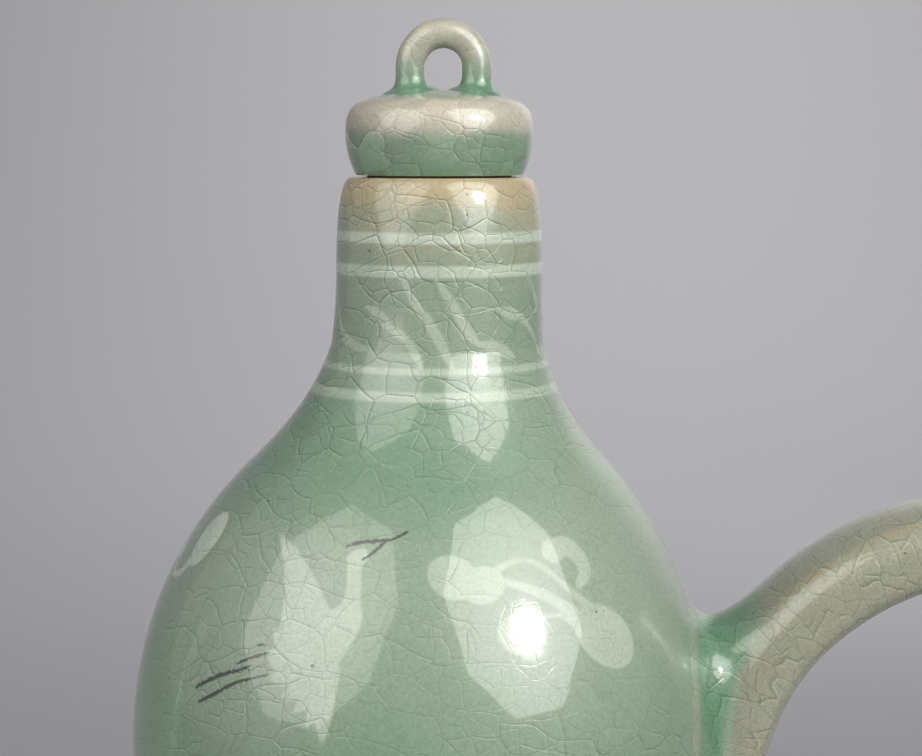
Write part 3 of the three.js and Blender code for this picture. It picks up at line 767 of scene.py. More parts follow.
def craze_net(t, place, facing, cell, width, stray, seed):
    """A net of cracks between plates of a size: the hairline, and a painted light and shade on the
    plates beside it, from -1 to 1, standing in for the light that a slanting crack throws there. It
    also returns the middle of the plate that a place lies on, and the place itself in the warped net, which
    plate_lot takes.
    The way to the plane between the two nearest plates is measured along the surface, so that
    a crack is as thin where its plane slants through the glaze."""
    # The net is warped, so that its cracks curve
    moved = put(t, "VectorMath", {0: place, 1: (seed, seed * 0.7, -seed)}, operation="ADD")
    drift = put(t, "TexNoise", {"Vector": moved, "Scale": scale_for(cell * 1.8), "Detail": 1.0},
                output="Color")
    centred = put(t, "VectorMath", {0: drift, 1: (0.5, 0.5, 0.5)}, operation="SUBTRACT")
    warp = put(t, "VectorMath", {0: centred, "Scale": cell * MM * 0.9}, operation="SCALE")
    bent = put(t, "VectorMath", {0: moved, 1: warp}, operation="ADD")
    near, next_near = (put(t, "TexVoronoi", {"Vector": bent, "Scale": scale_for(cell),
                                             "Randomness": stray}, output="Position", feature=rank)
                       for rank in ("F1", "F2"))

    # The dark hairline
    across = put(t, "VectorMath", {0: next_near, 1: near}, operation="SUBTRACT")
    across = put(t, "VectorMath", {0: across}, operation="NORMALIZE")
    both = put(t, "VectorMath", {0: near, 1: next_near}, operation="ADD")
    middle = put(t, "VectorMath", {0: both, "Scale": 0.5}, operation="SCALE")
    way = put(t, "VectorMath", {0: middle, 1: bent}, operation="SUBTRACT")
    depth = put(t, "VectorMath", {0: way, 1: across}, output="Value", operation="DOT_PRODUCT")
    slant = put(t, "VectorMath", {0: across, 1: facing}, output="Value", operation="DOT_PRODUCT")
    slant = put(t, "Math", {0: slant, 1: slant}, operation="MULTIPLY")
    # Just over 1, so that nothing is divided by zero where the plane lies in the surface
    level = put(t, "Math", {0: 1.02, 1: slant}, operation="SUBTRACT")
    level = put(t, "Math", {0: level}, operation="SQRT")
    depth = put(t, "Math", {0: depth, 1: level}, operation="DIVIDE")
    line = put(t, "MapRange", {"Value": depth, "From Min": width * 0.3 * MM, "From Max": width * MM,
                               "To Min": 1.0, "To Max": 0.0}, interpolation_type="SMOOTHSTEP")

    # The glance beside it: painted light on one side of the crack and painted shade on the other, as if lit
    # from one fixed side
    side = put(t, "VectorMath", {0: across, 1: (0.5, 0.3, 0.8)}, output="Value",
               operation="DOT_PRODUCT")
    beside = put(t, "MapRange", {"Value": depth, "From Min": width * 0.8 * MM,
                                 "From Max": width * 4.5 * MM, "To Min": 1.0, "To Max": 0.0})
    beside = put(t, "Math", {0: beside, 1: 2.0}, operation="POWER")
    painted_glance = put(t, "Math", {0: side, 1: beside}, operation="MULTIPLY")
    return line, painted_glance, near, bent


def plate_lot(t, near, bent):
    """What each plate between the cracks has to itself: its tilt, and a painted light and shade from -1 to
    1 that stands in for the light its tilt catches.
    """
    lot = put(t, "VectorMath", {0: near.node.outputs["Color"], 1: (0.5, 0.5, 0.5)},
              operation="SUBTRACT")
    from_middle = put(t, "VectorMath", {0: bent, 1: near}, operation="SUBTRACT")
    tilt = put(t, "VectorMath", {0: from_middle, 1: lot}, output="Value", operation="DOT_PRODUCT")
    painted_shade = put(t, "SeparateXYZ", {0: lot})
    painted_shade = put(t, "Math", {0: painted_shade, 1: 2.0}, operation="MULTIPLY")
    return tilt, painted_shade


def glaze_by_depth(t, clouding, mottle, thin_colour):
    """The glaze's colour: green to grey where it is even, deep green where it pools and where shade
    is painted with it, sandy where it runs thin, and brown along a sharp edge."""
    pool, thin, edge = (put(t, "Attribute", output="Fac", attribute_name=name)
                        for name in ("pool", "thin", "edge"))
    share = put(t, "MapRange", {"Value": clouding, "From Min": 0.36, "From Max": 0.64})
    greyed = put(t, "Math", {0: thin, 1: 1.8}, operation="MULTIPLY")
    share = put(t, "Math", {0: share, 1: greyed}, operation="ADD", use_clamp=True)
    colour = put(t, "Mix", {0: share, 6: linear(GLAZE_GREEN), 7: linear(GLAZE_GREY)}, output=2,
                 data_type="RGBA")
    deep, ragged = (put(t, "MapRange", {"Value": mottle, "From Min": 0.3, "From Max": 0.7,
                                        "To Min": low, "To Max": high})
                    for low, high in ((0.75, 1.1), (-0.14, 0.14)))
    # Deep green for pooled glaze and for painted shade
    pooled = put(t, "Math", {0: pool, 1: deep}, operation="MULTIPLY", use_clamp=True)
    thinned = put(t, "Math", {0: thin, 1: ragged}, operation="ADD")
    thinned = put(t, "MapRange", {"Value": thinned, "From Min": 0.2, "From Max": 0.95},
                  interpolation_type="SMOOTHSTEP")
    edged = put(t, "Math", {0: edge, 1: ragged}, operation="ADD")
    edged = put(t, "MapRange", {"Value": edged, "From Min": 0.25, "From Max": 1.0, "To Max": 0.75},
                interpolation_type="SMOOTHSTEP")
    for share, tone in ((pooled, GLAZE_POOLED_AND_SHADE), (thinned, thin_colour), (edged, GLAZE_EDGE)):
        colour = put(t, "Mix", {0: share, 6: colour, 7: linear(tone)}, output=2, data_type="RGBA")
    return colour


def white_inlay(t, colour, mottle, rough_cut):
    """White slip under the glaze, with a soft, slightly uneven edge and a patchy, sandy body."""
    slip, chalk = (put(t, "Attribute", output="Fac", attribute_name=name)
                   for name in ("slip", "chalk"))
    slip = put(t, "Math", {0: slip, 1: rough_cut}, operation="ADD")
    white = put(t, "MapRange", {"Value": slip, "From Min": -0.3, "From Max": 0.22, "To Min": 1.0,
                                "To Max": 0.0}, interpolation_type="SMOOTHSTEP")
    patch = put(t, "MapRange", {"Value": mottle, "From Min": 0.3, "From Max": 0.7, "To Min": 0.8,
                                "To Max": 1.15})
    chalk = put(t, "Math", {0: chalk, 1: patch}, operation="MULTIPLY", use_clamp=True)
    white = put(t, "Math", {0: white, 1: chalk}, operation="MULTIPLY")
    return put(t, "Mix", {0: white, 6: colour, 7: linear(WHITE_SLIP)}, output=2, data_type="RGBA")


def black_inlay(t, colour, rough_cut):
    """Black slip in the cut strokes, of which the mesh holds two layers."""
    for layer in ("ink_a", "ink_b"):
        held = put(t, "Attribute", output="Vector", attribute_name=layer)
        stroke = put(t, "SeparateXYZ", {0: held}).node
        off = put(t, "Math", {0: stroke.outputs["Y"]}, operation="ABSOLUTE")
        off = put(t, "Math", {0: off, 1: stroke.outputs["Z"]}, operation="SUBTRACT")
        off = put(t, "Math", {0: off, 1: rough_cut}, operation="ADD")
        black = put(t, "MapRange", {"Value": off, "From Min": -0.1, "From Max": 0.16, "To Min": 0.9,
                                    "To Max": 0.0}, interpolation_type="SMOOTHSTEP")
        colour = put(t, "Mix", {0: black, 6: colour, 7: linear(BLACK_SLIP)}, output=2,
                     data_type="RGBA")
    return colour


def iron_specks(t, colour, place):
    """Dark specks of iron, far apart and of different sizes."""
    spot = put(t, "TexVoronoi", {"Vector": place, "Scale": scale_for(SPECK_SPACING)})
    picked = put(t, "SeparateColor", {0: spot.node.outputs["Color"]})
    size = put(t, "MapRange", {"Value": picked, "From Min": 0.55, "From Max": 1.0, "To Min": 0.0,
                               "To Max": SPECK_RADIUS})
    speck = put(t, "Math", {0: spot, 1: size}, operation="LESS_THAN")
    speck = put(t, "Math", {0: speck, 1: SPECK_DARK}, operation="MULTIPLY")
    return put(t, "Mix", {0: speck, 6: colour, 7: linear(IRON_SPECK)}, output=2, data_type="RGBA")


def crazing(t, place, clouding, cells, widths, stray, plate_tilt, painted_plate_shade, along_strap):
    """Long cracks, and a finer net between them that comes and goes: the cracks themselves, the
    painted light and shade beside them, the painted light and shade on each plate, and each
    plate's tilt. All are weaker where the mesh's crackle is."""
    if along_strap:
        laid, facing = (put(t, "Attribute", output="Vector", attribute_name=name)
                        for name in ("laid", "flank"))
    else:
        laid = put(t, "VectorMath", {0: place, 1: (1, 1, PLATE_SQUASH)}, operation="MULTIPLY")
        facing = put(t, "NewGeometry", output="Normal")
    coarse, fine = (craze_net(t, laid, facing, cell, width, stray, seed)
                    for cell, width, seed in zip(cells, widths, (0.0, 0.5)))
    line, painted_glance, near, bent = coarse
    tilt, painted_shade = plate_lot(t, near, bent)

    here = put(t, "TexNoise", {"Vector": place, "Scale": scale_for(cells[0] * 1.7), "Detail": 1.0})
    here = put(t, "MapRange", {"Value": here, "From Min": 0.36, "From Max": 0.5})
    there = put(t, "MapRange", {"Value": clouding, "From Min": 0.38, "From Max": 0.56,
                                "To Min": 0.6, "To Max": 1.0})
    crackle = put(t, "Attribute", output="Fac", attribute_name="crackle")
    crackle = put(t, "Math", {0: crackle, 1: there}, operation="MULTIPLY")

    fine_line, fine_painted_glance = (put(t, "Math", {0: output, 1: here}, operation="MULTIPLY")
                              for output in fine[:2])
    cracks = put(t, "Math", {0: line, 1: fine_line}, operation="MAXIMUM")
    painted_glance = put(t, "Math", {0: painted_glance, 1: fine_painted_glance}, operation="ADD")
    # Each plate painted lighter or darker, standing in for the light its tilt catches
    painted_shade = put(t, "Math", {0: painted_shade, 1: painted_plate_shade}, operation="MULTIPLY")
    tilt = put(t, "Math", {0: tilt, 1: plate_tilt}, operation="MULTIPLY")
    cracks, painted_glance, painted_shade, tilt = (put(t, "Math", {0: output, 1: crackle}, operation="MULTIPLY")
                                   for output in (cracks, painted_glance, painted_shade, tilt))
    painted_glance = put(t, "MapRange", {"Value": painted_glance, "From Min": -1.0, "From Max": 1.0,
                                 "To Min": 1 - PAINTED_GLANCE, "To Max": 1 + PAINTED_GLANCE})
    painted_plate_light = put(t, "Math", {0: painted_shade, 1: 1.0}, operation="ADD")
    return cracks, painted_glance, painted_plate_light, tilt


def glaze_relief(t, place, grain, cracks, tilt):
    """The slow and quick waves of the poured glaze, its fine grain, the cracks' grooves and the
    tilted plates."""
    wave = put(t, "TexNoise", {"Vector": place, "Scale": scale_for(WAVE), "Detail": 1.5})
    ripple = put(t, "TexNoise", {"Vector": place, "Scale": scale_for(RIPPLE), "Detail": 1.0})
    height = tilt
    for shape, size in ((wave, WAVE_HEIGHT), (ripple, RIPPLE_HEIGHT), (grain, GRAIN_HEIGHT),
                        (cracks, -CRACK_DEPTH)):
        part = put(t, "Math", {0: shape, 1: size * MM}, operation="MULTIPLY")
        height = put(t, "Math", {0: height, 1: part}, operation="ADD")
    return put(t, "Bump", {"Height": height, "Strength": 1.0, "Distance": 1.0})


def celadon_glaze(name, thin_colour=GLAZE_THIN, cells=(6.2, 3.4), widths=(0.13, 0.1), stray=0.9,
                  crack_shade=0.45, plate_tilt=0.012, painted_plate_shade=0.05, sand=0.12, coat_roughness=0.04,
                  along_strap=False):
    """Celadon: an iron-green feldspar glaze, fired in reduction over inlaid slip. It is a clear
    glass that shows grey-green where it is even, deep green where it pools and sandy where it
    runs thin, and it is crazed into plates. The same deep green is also laid on as painted shade on
    the lower gourd, and the crackle paints light and shade beside its cracks and on each plate.
    cells and widths are the sizes of the plates and the widths of the cracks, in millimetres, for
    the long cracks and the fine net. On a strap the cracks run along it and across it."""
    material, t = new_material(name)
    place = put(t, "TexCoord", output="Object")
    clouding = put(t, "TexNoise", {"Vector": place, "Scale": scale_for(CLOUDING), "Detail": 3.0})
    mottle = put(t, "TexNoise", {"Vector": place, "Scale": scale_for(MOTTLE), "Detail": 4.0})
    grain = put(t, "TexNoise", {"Vector": place, "Scale": scale_for(GRAIN), "Detail": 2.0,
                                "Roughness": 0.7})
    rough_cut = put(t, "MapRange", {"Value": grain, "From Min": 0.3, "From Max": 0.7, "To Min": -0.12,
                                    "To Max": 0.12})
    dots = put(t, "MapRange", {"Value": grain, "From Min": 0.32, "From Max": 0.68,
                               "To Min": 1 - sand, "To Max": 1 + sand})
    cracks, painted_glance, painted_plate_light, tilt = crazing(t, place, clouding, cells, widths, stray, plate_tilt,
                                          painted_plate_shade, along_strap)

    # The sandy dots lie over the white slip, and the crackle's painted light and shade over everything
    colour = glaze_by_depth(t, clouding, mottle, thin_colour)
    colour = white_inlay(t, colour, mottle, rough_cut)
    colour = put(t, "Mix", {0: 1.0, 6: colour, 7: dots}, output=2, data_type="RGBA",
                 blend_type="MULTIPLY")
    colour = black_inlay(t, colour, rough_cut)
    colour = iron_specks(t, colour, place)
    # Painted light and shade beside the cracks and on each plate
    for light in (painted_glance, painted_plate_light):
        colour = put(t, "Mix", {0: 1.0, 6: colour, 7: light}, output=2, data_type="RGBA",
                     blend_type="MULTIPLY")
    stain = put(t, "Math", {0: cracks, 1: crack_shade}, operation="MULTIPLY")
    colour = put(t, "Mix", {0: stain, 6: colour, 7: linear(CRAZE_STAIN)}, output=2, data_type="RGBA")

    normal = glaze_relief(t, place, grain, cracks, tilt)
    surface = put(t, "BsdfPrincipled", {"Base Color": colour, "Roughness": BODY_ROUGHNESS,
                                        "IOR": BODY_IOR, "Coat Weight": 1.0, "Coat IOR": GLASS_IOR,
                                        "Coat Roughness": coat_roughness, "Normal": normal,
                                        "Coat Normal": normal})
    put(t, "OutputMaterial", {"Surface": surface})
    return material


def bare_stoneware(name):
    """Stoneware clay where the glaze was wiped off: matt, sandy brown with darker grog."""
    material, t = new_material(name)
    place = put(t, "TexCoord", output="Object")
    tone = put(t, "TexNoise", {"Vector": place, "Scale": scale_for(CLAY_TONE), "Detail": 5.0})
    grog = put(t, "TexNoise", {"Vector": place, "Scale": scale_for(GROG), "Detail": 2.0})
    colour = put(t, "Mix", {0: tone, 6: linear(BARE_CLAY), 7: linear(BARE_CLAY_DARK)}, output=2,
                 data_type="RGBA")
    dots = put(t, "MapRange", {"Value": grog, "From Min": 0.35, "From Max": 0.65, "To Min": 0.85,
                               "To Max": 1.1})
    colour = put(t, "Mix", {0: 1.0, 6: colour, 7: dots}, output=2, data_type="RGBA",
                 blend_type="MULTIPLY")
    height = put(t, "Math", {0: grog, 1: GROG_HEIGHT * MM}, operation="MULTIPLY")
    normal = put(t, "Bump", {"Height": height, "Strength": 1.0, "Distance": 1.0})
    surface = put(t, "BsdfPrincipled", {"Base Color": colour, "Roughness": CLAY_ROUGHNESS,
                                        "Normal": normal})
    put(t, "OutputMaterial", {"Surface": surface})
    return material


# The gourd, the spout and the cord's ring share one glaze. On the neck it is duller. On the
# strap it is thinner and greyer, with narrow plates, and on the lid its plates' tilt and painted light and
# shade differ most.
body_glaze = celadon_glaze("celadon_glaze_on_thrown_gourd")
neck_glaze = celadon_glaze("celadon_glaze_on_thrown_neck", coat_roughness=0.1)
strap_glaze = celadon_glaze("celadon_glaze_on_pulled_strap", thin_colour=STRAP_THIN, cells=(2.9, 2.6),
                            widths=(0.085, 0.06), stray=0.65, crack_shade=0.5, plate_tilt=0.008,
                            painted_plate_shade=0.04, sand=0.17, coat_roughness=0.05, along_strap=True)
lid_glaze = celadon_glaze("celadon_glaze_on_turned_lid", thin_colour=LID_THIN, cells=(5.0, 3.4),
                          crack_shade=0.4, plate_tilt=0.035, painted_plate_shade=0.28, coat_roughness=0.08)
clay = bare_stoneware("bare_stoneware_wiped_foot")


# The body

# The bore runs straight this far down from the lip, and then follows the neck's inside
LIP_DEPTH = 8.0

# Bands where the gourd's glaze changes, each by its two soft edges: up the wall, as rises above
# the upper belly in millimetres, and round it, as turns in degrees with the handle at 0
FLARE = (30, 42), (48, 60)
SHOULDER = (0, 16), (32, 50)
WAIST_HOLLOW = (-46, -32), (-30, -16)
HANDLE_SIDE = (-80, -45), (60, 100)
EVEN_SIDE = (-130, -60), (40, 110)


def gourd_piece(name, nodes, low, high, spacing, around, glaze, floor=None):
    """One thrown piece of the body, as a shell between two heights, with a floor if it has one."""
    outer = spaced(stretch(OUTSIDE, low, high), spacing)
    if high >= RIM_HEIGHT:
        lip = np.array([[BORE_RADIUS + 0.4, RIM_HEIGHT], [BORE_RADIUS + 0.12, RIM_HEIGHT - 0.12],
                        [BORE_RADIUS, RIM_HEIGHT - 0.4]])
        top = RIM_HEIGHT - LIP_DEPTH
    else:
        lip, top = np.zeros((0, 2)), high
    inner = inside_of(spaced(OUTSIDE, 1.0))
    bottom = low if floor is None else floor
    inner = spaced(stretch(inner, bottom, top), spacing * 3)[::-1]
    profile = np.vstack([outer, lip, inner])
    if floor is not None:
        profile = np.vstack([[[0, low]], profile, [[0, floor]]])
    rings = turned_rings(profile, around)
    piece = mesh_piece(name, rings, glaze, "ewer", nodes, endless=floor is None,
                       sharp=35, lean=True)
    if floor is None:
        true_normals(piece, outer, around)
    points = points_of(piece)
    store(piece, **inlay_on(points), **gourd_glaze_on(points))
    return piece


def gourd_glaze_on(points):
    """Where the gourd's glaze pools, thins and crackles, and where shade is painted. It pools in the
    flare under the neck, though little on the handle's side, in the waist and above the foot. Below
    the upper belly the pooled green is also laid on slightly all over, as painted shade that darkens
    the lower part. It is thin on the neck, and most so at the lip. The crackle is strongest on the
    neck and weakest on the shoulder, above all on the handle's side."""
    rise = points[:, 2] - UPPER_BELLY_HEIGHT
    turn = np.degrees(np.arctan2(points[:, 1], points[:, 0]))
    flare = 0.4 * band(rise, *FLARE) * (1 - 0.8 * band(turn, *HANDLE_SIDE))
    waist = 0.55 * band(rise, *WAIST_HOLLOW)
    low_pool = 0.5 * (1 - smoothstep(points[:, 2], FOOT_HEIGHT, FOOT_HEIGHT + 9))
    # Painted shade: the lower part is darkened slightly all over with the pooled green
    low_pool += 0.24 * (1 - smoothstep(rise, 0, 26))
    thin = 0.2 * smoothstep(rise, 44, 56) + 0.28 * smoothstep(rise, RIM_RISE - 17, RIM_RISE - 6)
    thin += 0.4 * smoothstep(rise, RIM_RISE - 6, RIM_RISE - 0.6)
    on_shoulder = band(rise, *SHOULDER) * (0.2 + 0.35 * band(turn, *EVEN_SIDE))
    crackle = 1 - 0.2 * (1 - smoothstep(rise, *SHOULDER[1])) - on_shoulder
    return {"pool": flare + waist + low_pool, "thin": thin, "edge": np.zeros(len(points)),
            "crackle": crackle}


lower_gourd = gourd_piece("lower_gourd", ["lower_bowl", "lower_dome"], FOOT_HEIGHT, WAIST_HEIGHT,
                          spacing=1.0, around=480, glaze=body_glaze,
                          floor=FOOT_HEIGHT + FLOOR_THICKNESS)
gourd_piece("upper_gourd", ["upper_bulb"], WAIST_HEIGHT, NECK_JOINT_HEIGHT, spacing=0.6, around=448,
            glaze=body_glaze)
gourd_piece("neck_with_lip", ["neck"], NECK_JOINT_HEIGHT, RIM_HEIGHT, spacing=0.4, around=288,
            glaze=neck_glaze)


# The foot

def foot_ring_piece():
    inner = FOOT_RADIUS - FOOT_RING_WIDTH
    outer_side = bezier((FOOT_RADIUS - 2.6, 0), (FOOT_RADIUS - 1.4, 0), (FOOT_RADIUS - 0.9, 2.4),
                        (FOOT_RADIUS - 0.3, FOOT_HEIGHT), 12)
    inner_side = bezier((inner - 0.4, FOOT_HEIGHT), (inner - 0.2, 2.0), (inner, 0.2), (inner + 1.1, 0), 12)
    profile = np.vstack([outer_side, inner_side])
    mesh_piece("turned_foot", turned_rings(profile, 240), clay, "ewer", ["foot_ring"],
               endless=True)


foot_ring_piece()


# The handle

# Across the strap, lengths count for this share in the crackle, so that its plates are wider
# than long and most of its cracks run across
STRAP_SQUEEZE = 0.45


def handle_line():
    up, wall = UPPER_BELLY_HEIGHT, UPPER_BELLY_RADIUS
    out = HANDLE_REACH - HANDLE_THICKNESS / 2 - FACET_EASE
    return Line(
        bezier((wall - 14.9, up - 14), (wall + 9.8, up - 13), (wall - 5.8, up + 7.2),
               (wall + 19.4, up + 23.2)),
        bezier((wall + 19.4, up + 23.2), (wall + 38, up + 35), (out, up + 30.2), (out, up + 2)),
        bezier((out, up + 2), (out, up - 26), (out - 15, LOWER_BELLY_HEIGHT + 52),
               (57, LOWER_BELLY_HEIGHT + 32)),
    )


HANDLE_LINE = handle_line()
GOURD_WALL = TurnedWall(OUTSIDE, leaning=True)


def swell(crown, across):
    """How far a crowned face swells at a distance from the strap's middle line."""
    share = np.minimum(1, np.abs(across) / (HANDLE_WIDTH / 2))
    return crown * (1 - share * share)


def strap_top(across):
    return HANDLE_THICKNESS / 2 + swell(HANDLE_CROWN, across)


def strap_section(spacing):
    """A rectangle with round corners, as (across, through) points from the middle of its top."""
    half = HANDLE_WIDTH / 2 - HANDLE_CORNER
    rise = HANDLE_THICKNESS / 2 - HANDLE_CORNER
    corners = [(half, rise, 90), (half, -rise, 0), (-half, -rise, -90), (-half, rise, -180)]
    outline = [np.array([[0, HANDLE_THICKNESS / 2]])]
    for across, through, start in corners:
        turn = np.radians(start - np.linspace(0, 90, 13))
        outline.append(np.stack([across + HANDLE_CORNER * np.cos(turn),
                                 through + HANDLE_CORNER * np.sin(turn)], axis=1))
    outline.append(outline[0])
    section = spaced(np.vstack(outline), spacing)[:-1]
    across, through = section.T
    crowned = np.where(through > 0, swell(HANDLE_CROWN, across), -swell(HANDLE_BELLY, across))
    return np.stack([across, through + crowned], axis=1)


def handle_piece():
    section = strap_section(0.75)

    def strand(share):
        return HANDLE_LINE.section(share, section[:, 0], section[:, 1])

    facing = np.clip(section[:, 1] / (HANDLE_THICKNESS / 2), -1, 1)
    upper_fillets = UPPER_ROOT_FILLET + UPPER_FILLET_CHANGE * facing
    lower_fillets = LOWER_ROOT_FILLET - LOWER_FILLET_CHANGE * facing
    steps = 20
    rings = luted_rod(HANDLE_LINE, strand, GOURD_WALL, spans=[(0, 0.22), (1, 0.85)],
                      fillets=[upper_fillets, lower_fillets], spacing=0.8, steps=steps)
    piece = mesh_piece("pulled_handle", rings, strap_glaze, "ewer", ["handle"])
    points = points_of(piece)
    step = np.roll(section, -1, axis=0) - np.roll(section, 1, axis=0)
    flank = unit(np.stack([np.zeros(len(section)), -step[:, 1], step[:, 0]], axis=1))
    store(piece, **handle_glaze_on(rings, section, steps), **plain(points, 0.72),
          laid=HANDLE_LINE.unbent(points) * (1, STRAP_SQUEEZE, STRAP_SQUEEZE) * MM,
          flank=np.vstack([flank[:len(ring)] for ring in rings]))


def handle_glaze_on(rings, section, steps):
    """Where the handle's glaze pools and thins. It pools in the hollow round each root, of as many
    rings as steps, and it is thin on the pad's rim and brown on the strap's edges."""
    across, through = np.abs(section[:, 0]), section[:, 1]
    upper_band = np.hypot(across - (HANDLE_WIDTH / 2 - 2.2), through - HANDLE_THICKNESS / 2 - 0.4)
    lower_band = np.hypot(across - HANDLE_WIDTH / 2, through + HANDLE_THICKNESS / 2 - 2.4)
    edges = 0.75 * np.exp(-(upper_band / 0.7) ** 2) + 0.6 * np.exp(-(lower_band / 0.5) ** 2)
    pool, thin, edge = [], [], []
    first, last = CAP_STEPS, len(rings) - CAP_STEPS - 1
    for k, ring in enumerate(rings):
        from_root = min(k - first, last - k)
        if from_root < 0:
            for values in (pool, thin, edge):
                values.append(np.zeros(len(ring)))
            continue
        foot = rings[first] if k < len(rings) / 2 else rings[last]
        away = np.linalg.norm(ring - foot, axis=1)
        bare = smoothstep(from_root / steps, 0.55, 1.1)
        pool.append(0.72 * smoothstep(away, 1.8, 4.2) * (1 - bare))
        thin.append(np.maximum(0.72 * bare, 0.5 * np.exp(-((away - 1.2) / 1.3) ** 2)))
        edge.append(edges * bare)
    return {"pool": np.concatenate(pool), "thin": np.concatenate(thin), "edge": np.concatenate(edge)}


def plain(points, crackle=1.0):
    """A crazed glaze with no slip under it."""
    bare = np.tile(NO_STROKE, (len(points), 1))
    return {"slip": np.full(len(points), FAR), "chalk": np.zeros(len(points)), "ink_a": bare,
            "ink_b": bare, "crackle": crackle * np.ones(len(points))}


handle_piece()


class StrapTopWall:
    """The crowned top of the strap, which the small ring stands on."""

    def frame(self, points):
        flat = points[:, [0, 2]]
        pick = np.argmin(((flat[:, None] - HANDLE_LINE.points[None]) ** 2).sum(-1), axis=1)
        tangent = HANDLE_LINE.tangents[pick]
        normal = np.stack([-tangent[:, 1], tangent[:, 0]], axis=1)
        height = ((flat - HANDLE_LINE.points[pick]) * normal).sum(-1)
        return height - strap_top(points[:, 1]), normal

    def off(self, points):
        return self.frame(points)[0]

    def normal(self, points):
        _, normal = self.frame(points)
        return np.stack([normal[:, 0], np.zeros(len(points)), normal[:, 1]], axis=1)

    def seat(self, points, height):
        off, _ = self.frame(points)
        return points + self.normal(points) * (height - off)[:, None]


def arch(name, half_span, straight, rod, wall, bury, fillet, placed, material, body, node):
    """A rod bent to an arch, luted at both feet, moved from its own frame to its place. Its line
    starts bury under the wall. Its glaze pools at its feet and is thin and little crazed above."""
    turn = np.linspace(math.pi, 0, 60)
    line = Line(np.array([[-half_span, -bury], [-half_span, straight]], float),
                np.stack([half_span * np.cos(turn), straight + half_span * np.sin(turn)], axis=1),
                np.array([[half_span, straight], [half_span, -bury]], float))
    angle = np.arange(40) * 2 * math.pi / 40

    def strand(share):
        return line.section(share, rod * np.sin(angle), rod * np.cos(angle))

    fillets = np.full(40, float(fillet))
    rings = luted_rod(line, strand, wall, spans=[(0, 0.4), (1, 0.6)], fillets=[fillets, fillets],
                      spacing=0.35, steps=10)
    own = np.vstack(rings)
    rings = [ring @ placed[:3, :3].T + placed[:3, 3] for ring in rings]
    piece = mesh_piece(name, rings, material, body, [node])
    off = wall.off(own)
    pool = 0.7 * (1 - smoothstep(off, 0.4, 3.2))
    store(piece, pool=pool, thin=0.66 * smoothstep(off, 1.4, 6.0), edge=np.zeros(len(own)),
          **plain(own, 0.4))


def ring_on_handle():
    share = np.array([RING_PLACE])
    at = HANDLE_LINE.section(share, np.zeros(1), strap_top(np.zeros(1)))[0]
    along = HANDLE_LINE.read(HANDLE_LINE.tangents, share)[0]
    turn = Matrix.Rotation(-math.atan2(along[1], along[0]), 4, "Y")
    placed = np.array(Matrix.Translation(Vector(at)) @ turn)
    arch("cord_ring", RING_HALF_SPAN, RING_STRAIGHT, RING_ROD_RADIUS, PlacedWall(StrapTopWall(), placed),
         bury=2.0, fillet=RING_FILLET, placed=placed, material=body_glaze, body="ewer",
         node="handle_ring")


ring_on_handle()


# The spout

def spout_line():
    tip, top, belly = SPOUT_REACH - SPOUT_TIP_RADIUS - FACET_EASE, SPOUT_TIP_HEIGHT, LOWER_BELLY_RADIUS
    return Line(
        bezier((-(belly - 18), LOWER_BELLY_HEIGHT + 6), (-(belly + 12), LOWER_BELLY_HEIGHT + 18),
               (-(tip - 18), top - 96), (-(tip - 15), top - 64)),
        bezier((-(tip - 15), top - 64), (-(tip - 12.5), top - 38), (-(tip - 9), top - 18), (-tip, top)),
    )


SPOUT_LINE = spout_line()


def spout_radius(share):
    share = np.clip(share, 0, 1)
    taper = SPOUT_ROOT_RADIUS + (SPOUT_MIDDLE_RADIUS - SPOUT_ROOT_RADIUS) * smoothstep(share, 0.05, 0.62)
    narrow = taper + (SPOUT_TIP_RADIUS - 0.5 - taper) * smoothstep(share, 0.4, 0.93)
    return narrow + 0.5 * smoothstep(share, 0.93, 1)


def spout_piece():
    sides = 72
    angle = np.arange(sides) * 2 * math.pi / sides

    def outer(share):
        radius = spout_radius(share)
        return SPOUT_LINE.section(share, radius * np.sin(angle), radius * np.cos(angle))

    def inner(share):
        radius = spout_radius(share) - (SPOUT_WALL + (SPOUT_TIP_WALL - SPOUT_WALL) * share)
        return SPOUT_LINE.section(share, radius * np.sin(angle), radius * np.cos(angle))

    root, start = luted_root(SPOUT_LINE, outer, GOURD_WALL, 0, 0.3, np.full(sides, SPOUT_ROOT_FILLET), 16)
    _, mouth = luted_root(SPOUT_LINE, inner, GOURD_WALL, 0, 0.3, np.zeros(sides), 1)
    ones = np.ones(sides)
    tube = [outer(start + (ones - start) * s) for s in np.linspace(0, 1, 190)]
    bore = [inner(mouth + (ones - mouth) * s) for s in np.linspace(0, 1, 70)]
    tangent = SPOUT_LINE.tangents[-1]
    onward = np.array([tangent[0], 0, tangent[1]])
    rim_turn = np.linspace(0, math.pi, 10)[1:-1]
    middle, half = (tube[-1] + bore[-1]) / 2, (tube[-1] - bore[-1]) / 2
    lip = [middle + half * math.cos(a) + onward * math.sin(a) * 0.65 for a in rim_turn]
    seat = [GOURD_WALL.seat((root[0] + bore[0]) / 2, -SINK * 3)]
    rings = root + tube + lip + bore[::-1] + seat
    piece = mesh_piece("swan_neck_spout", rings, body_glaze, "ewer", ["spout"],
                       endless=True)
    points = points_of(piece)
    off = GOURD_WALL.off(points)
    near_root = 1 - smoothstep(off, 1.5, 9.0)
    tip = smoothstep(points[:, 2], SPOUT_TIP_HEIGHT - 7, SPOUT_TIP_HEIGHT + 1)
    store(piece, pool=0.8 * near_root * smoothstep(off, 0.05, 0.9), thin=np.maximum(0.9 * tip, 0.2),
          edge=np.zeros(len(points)), **plain(points))


spout_piece()


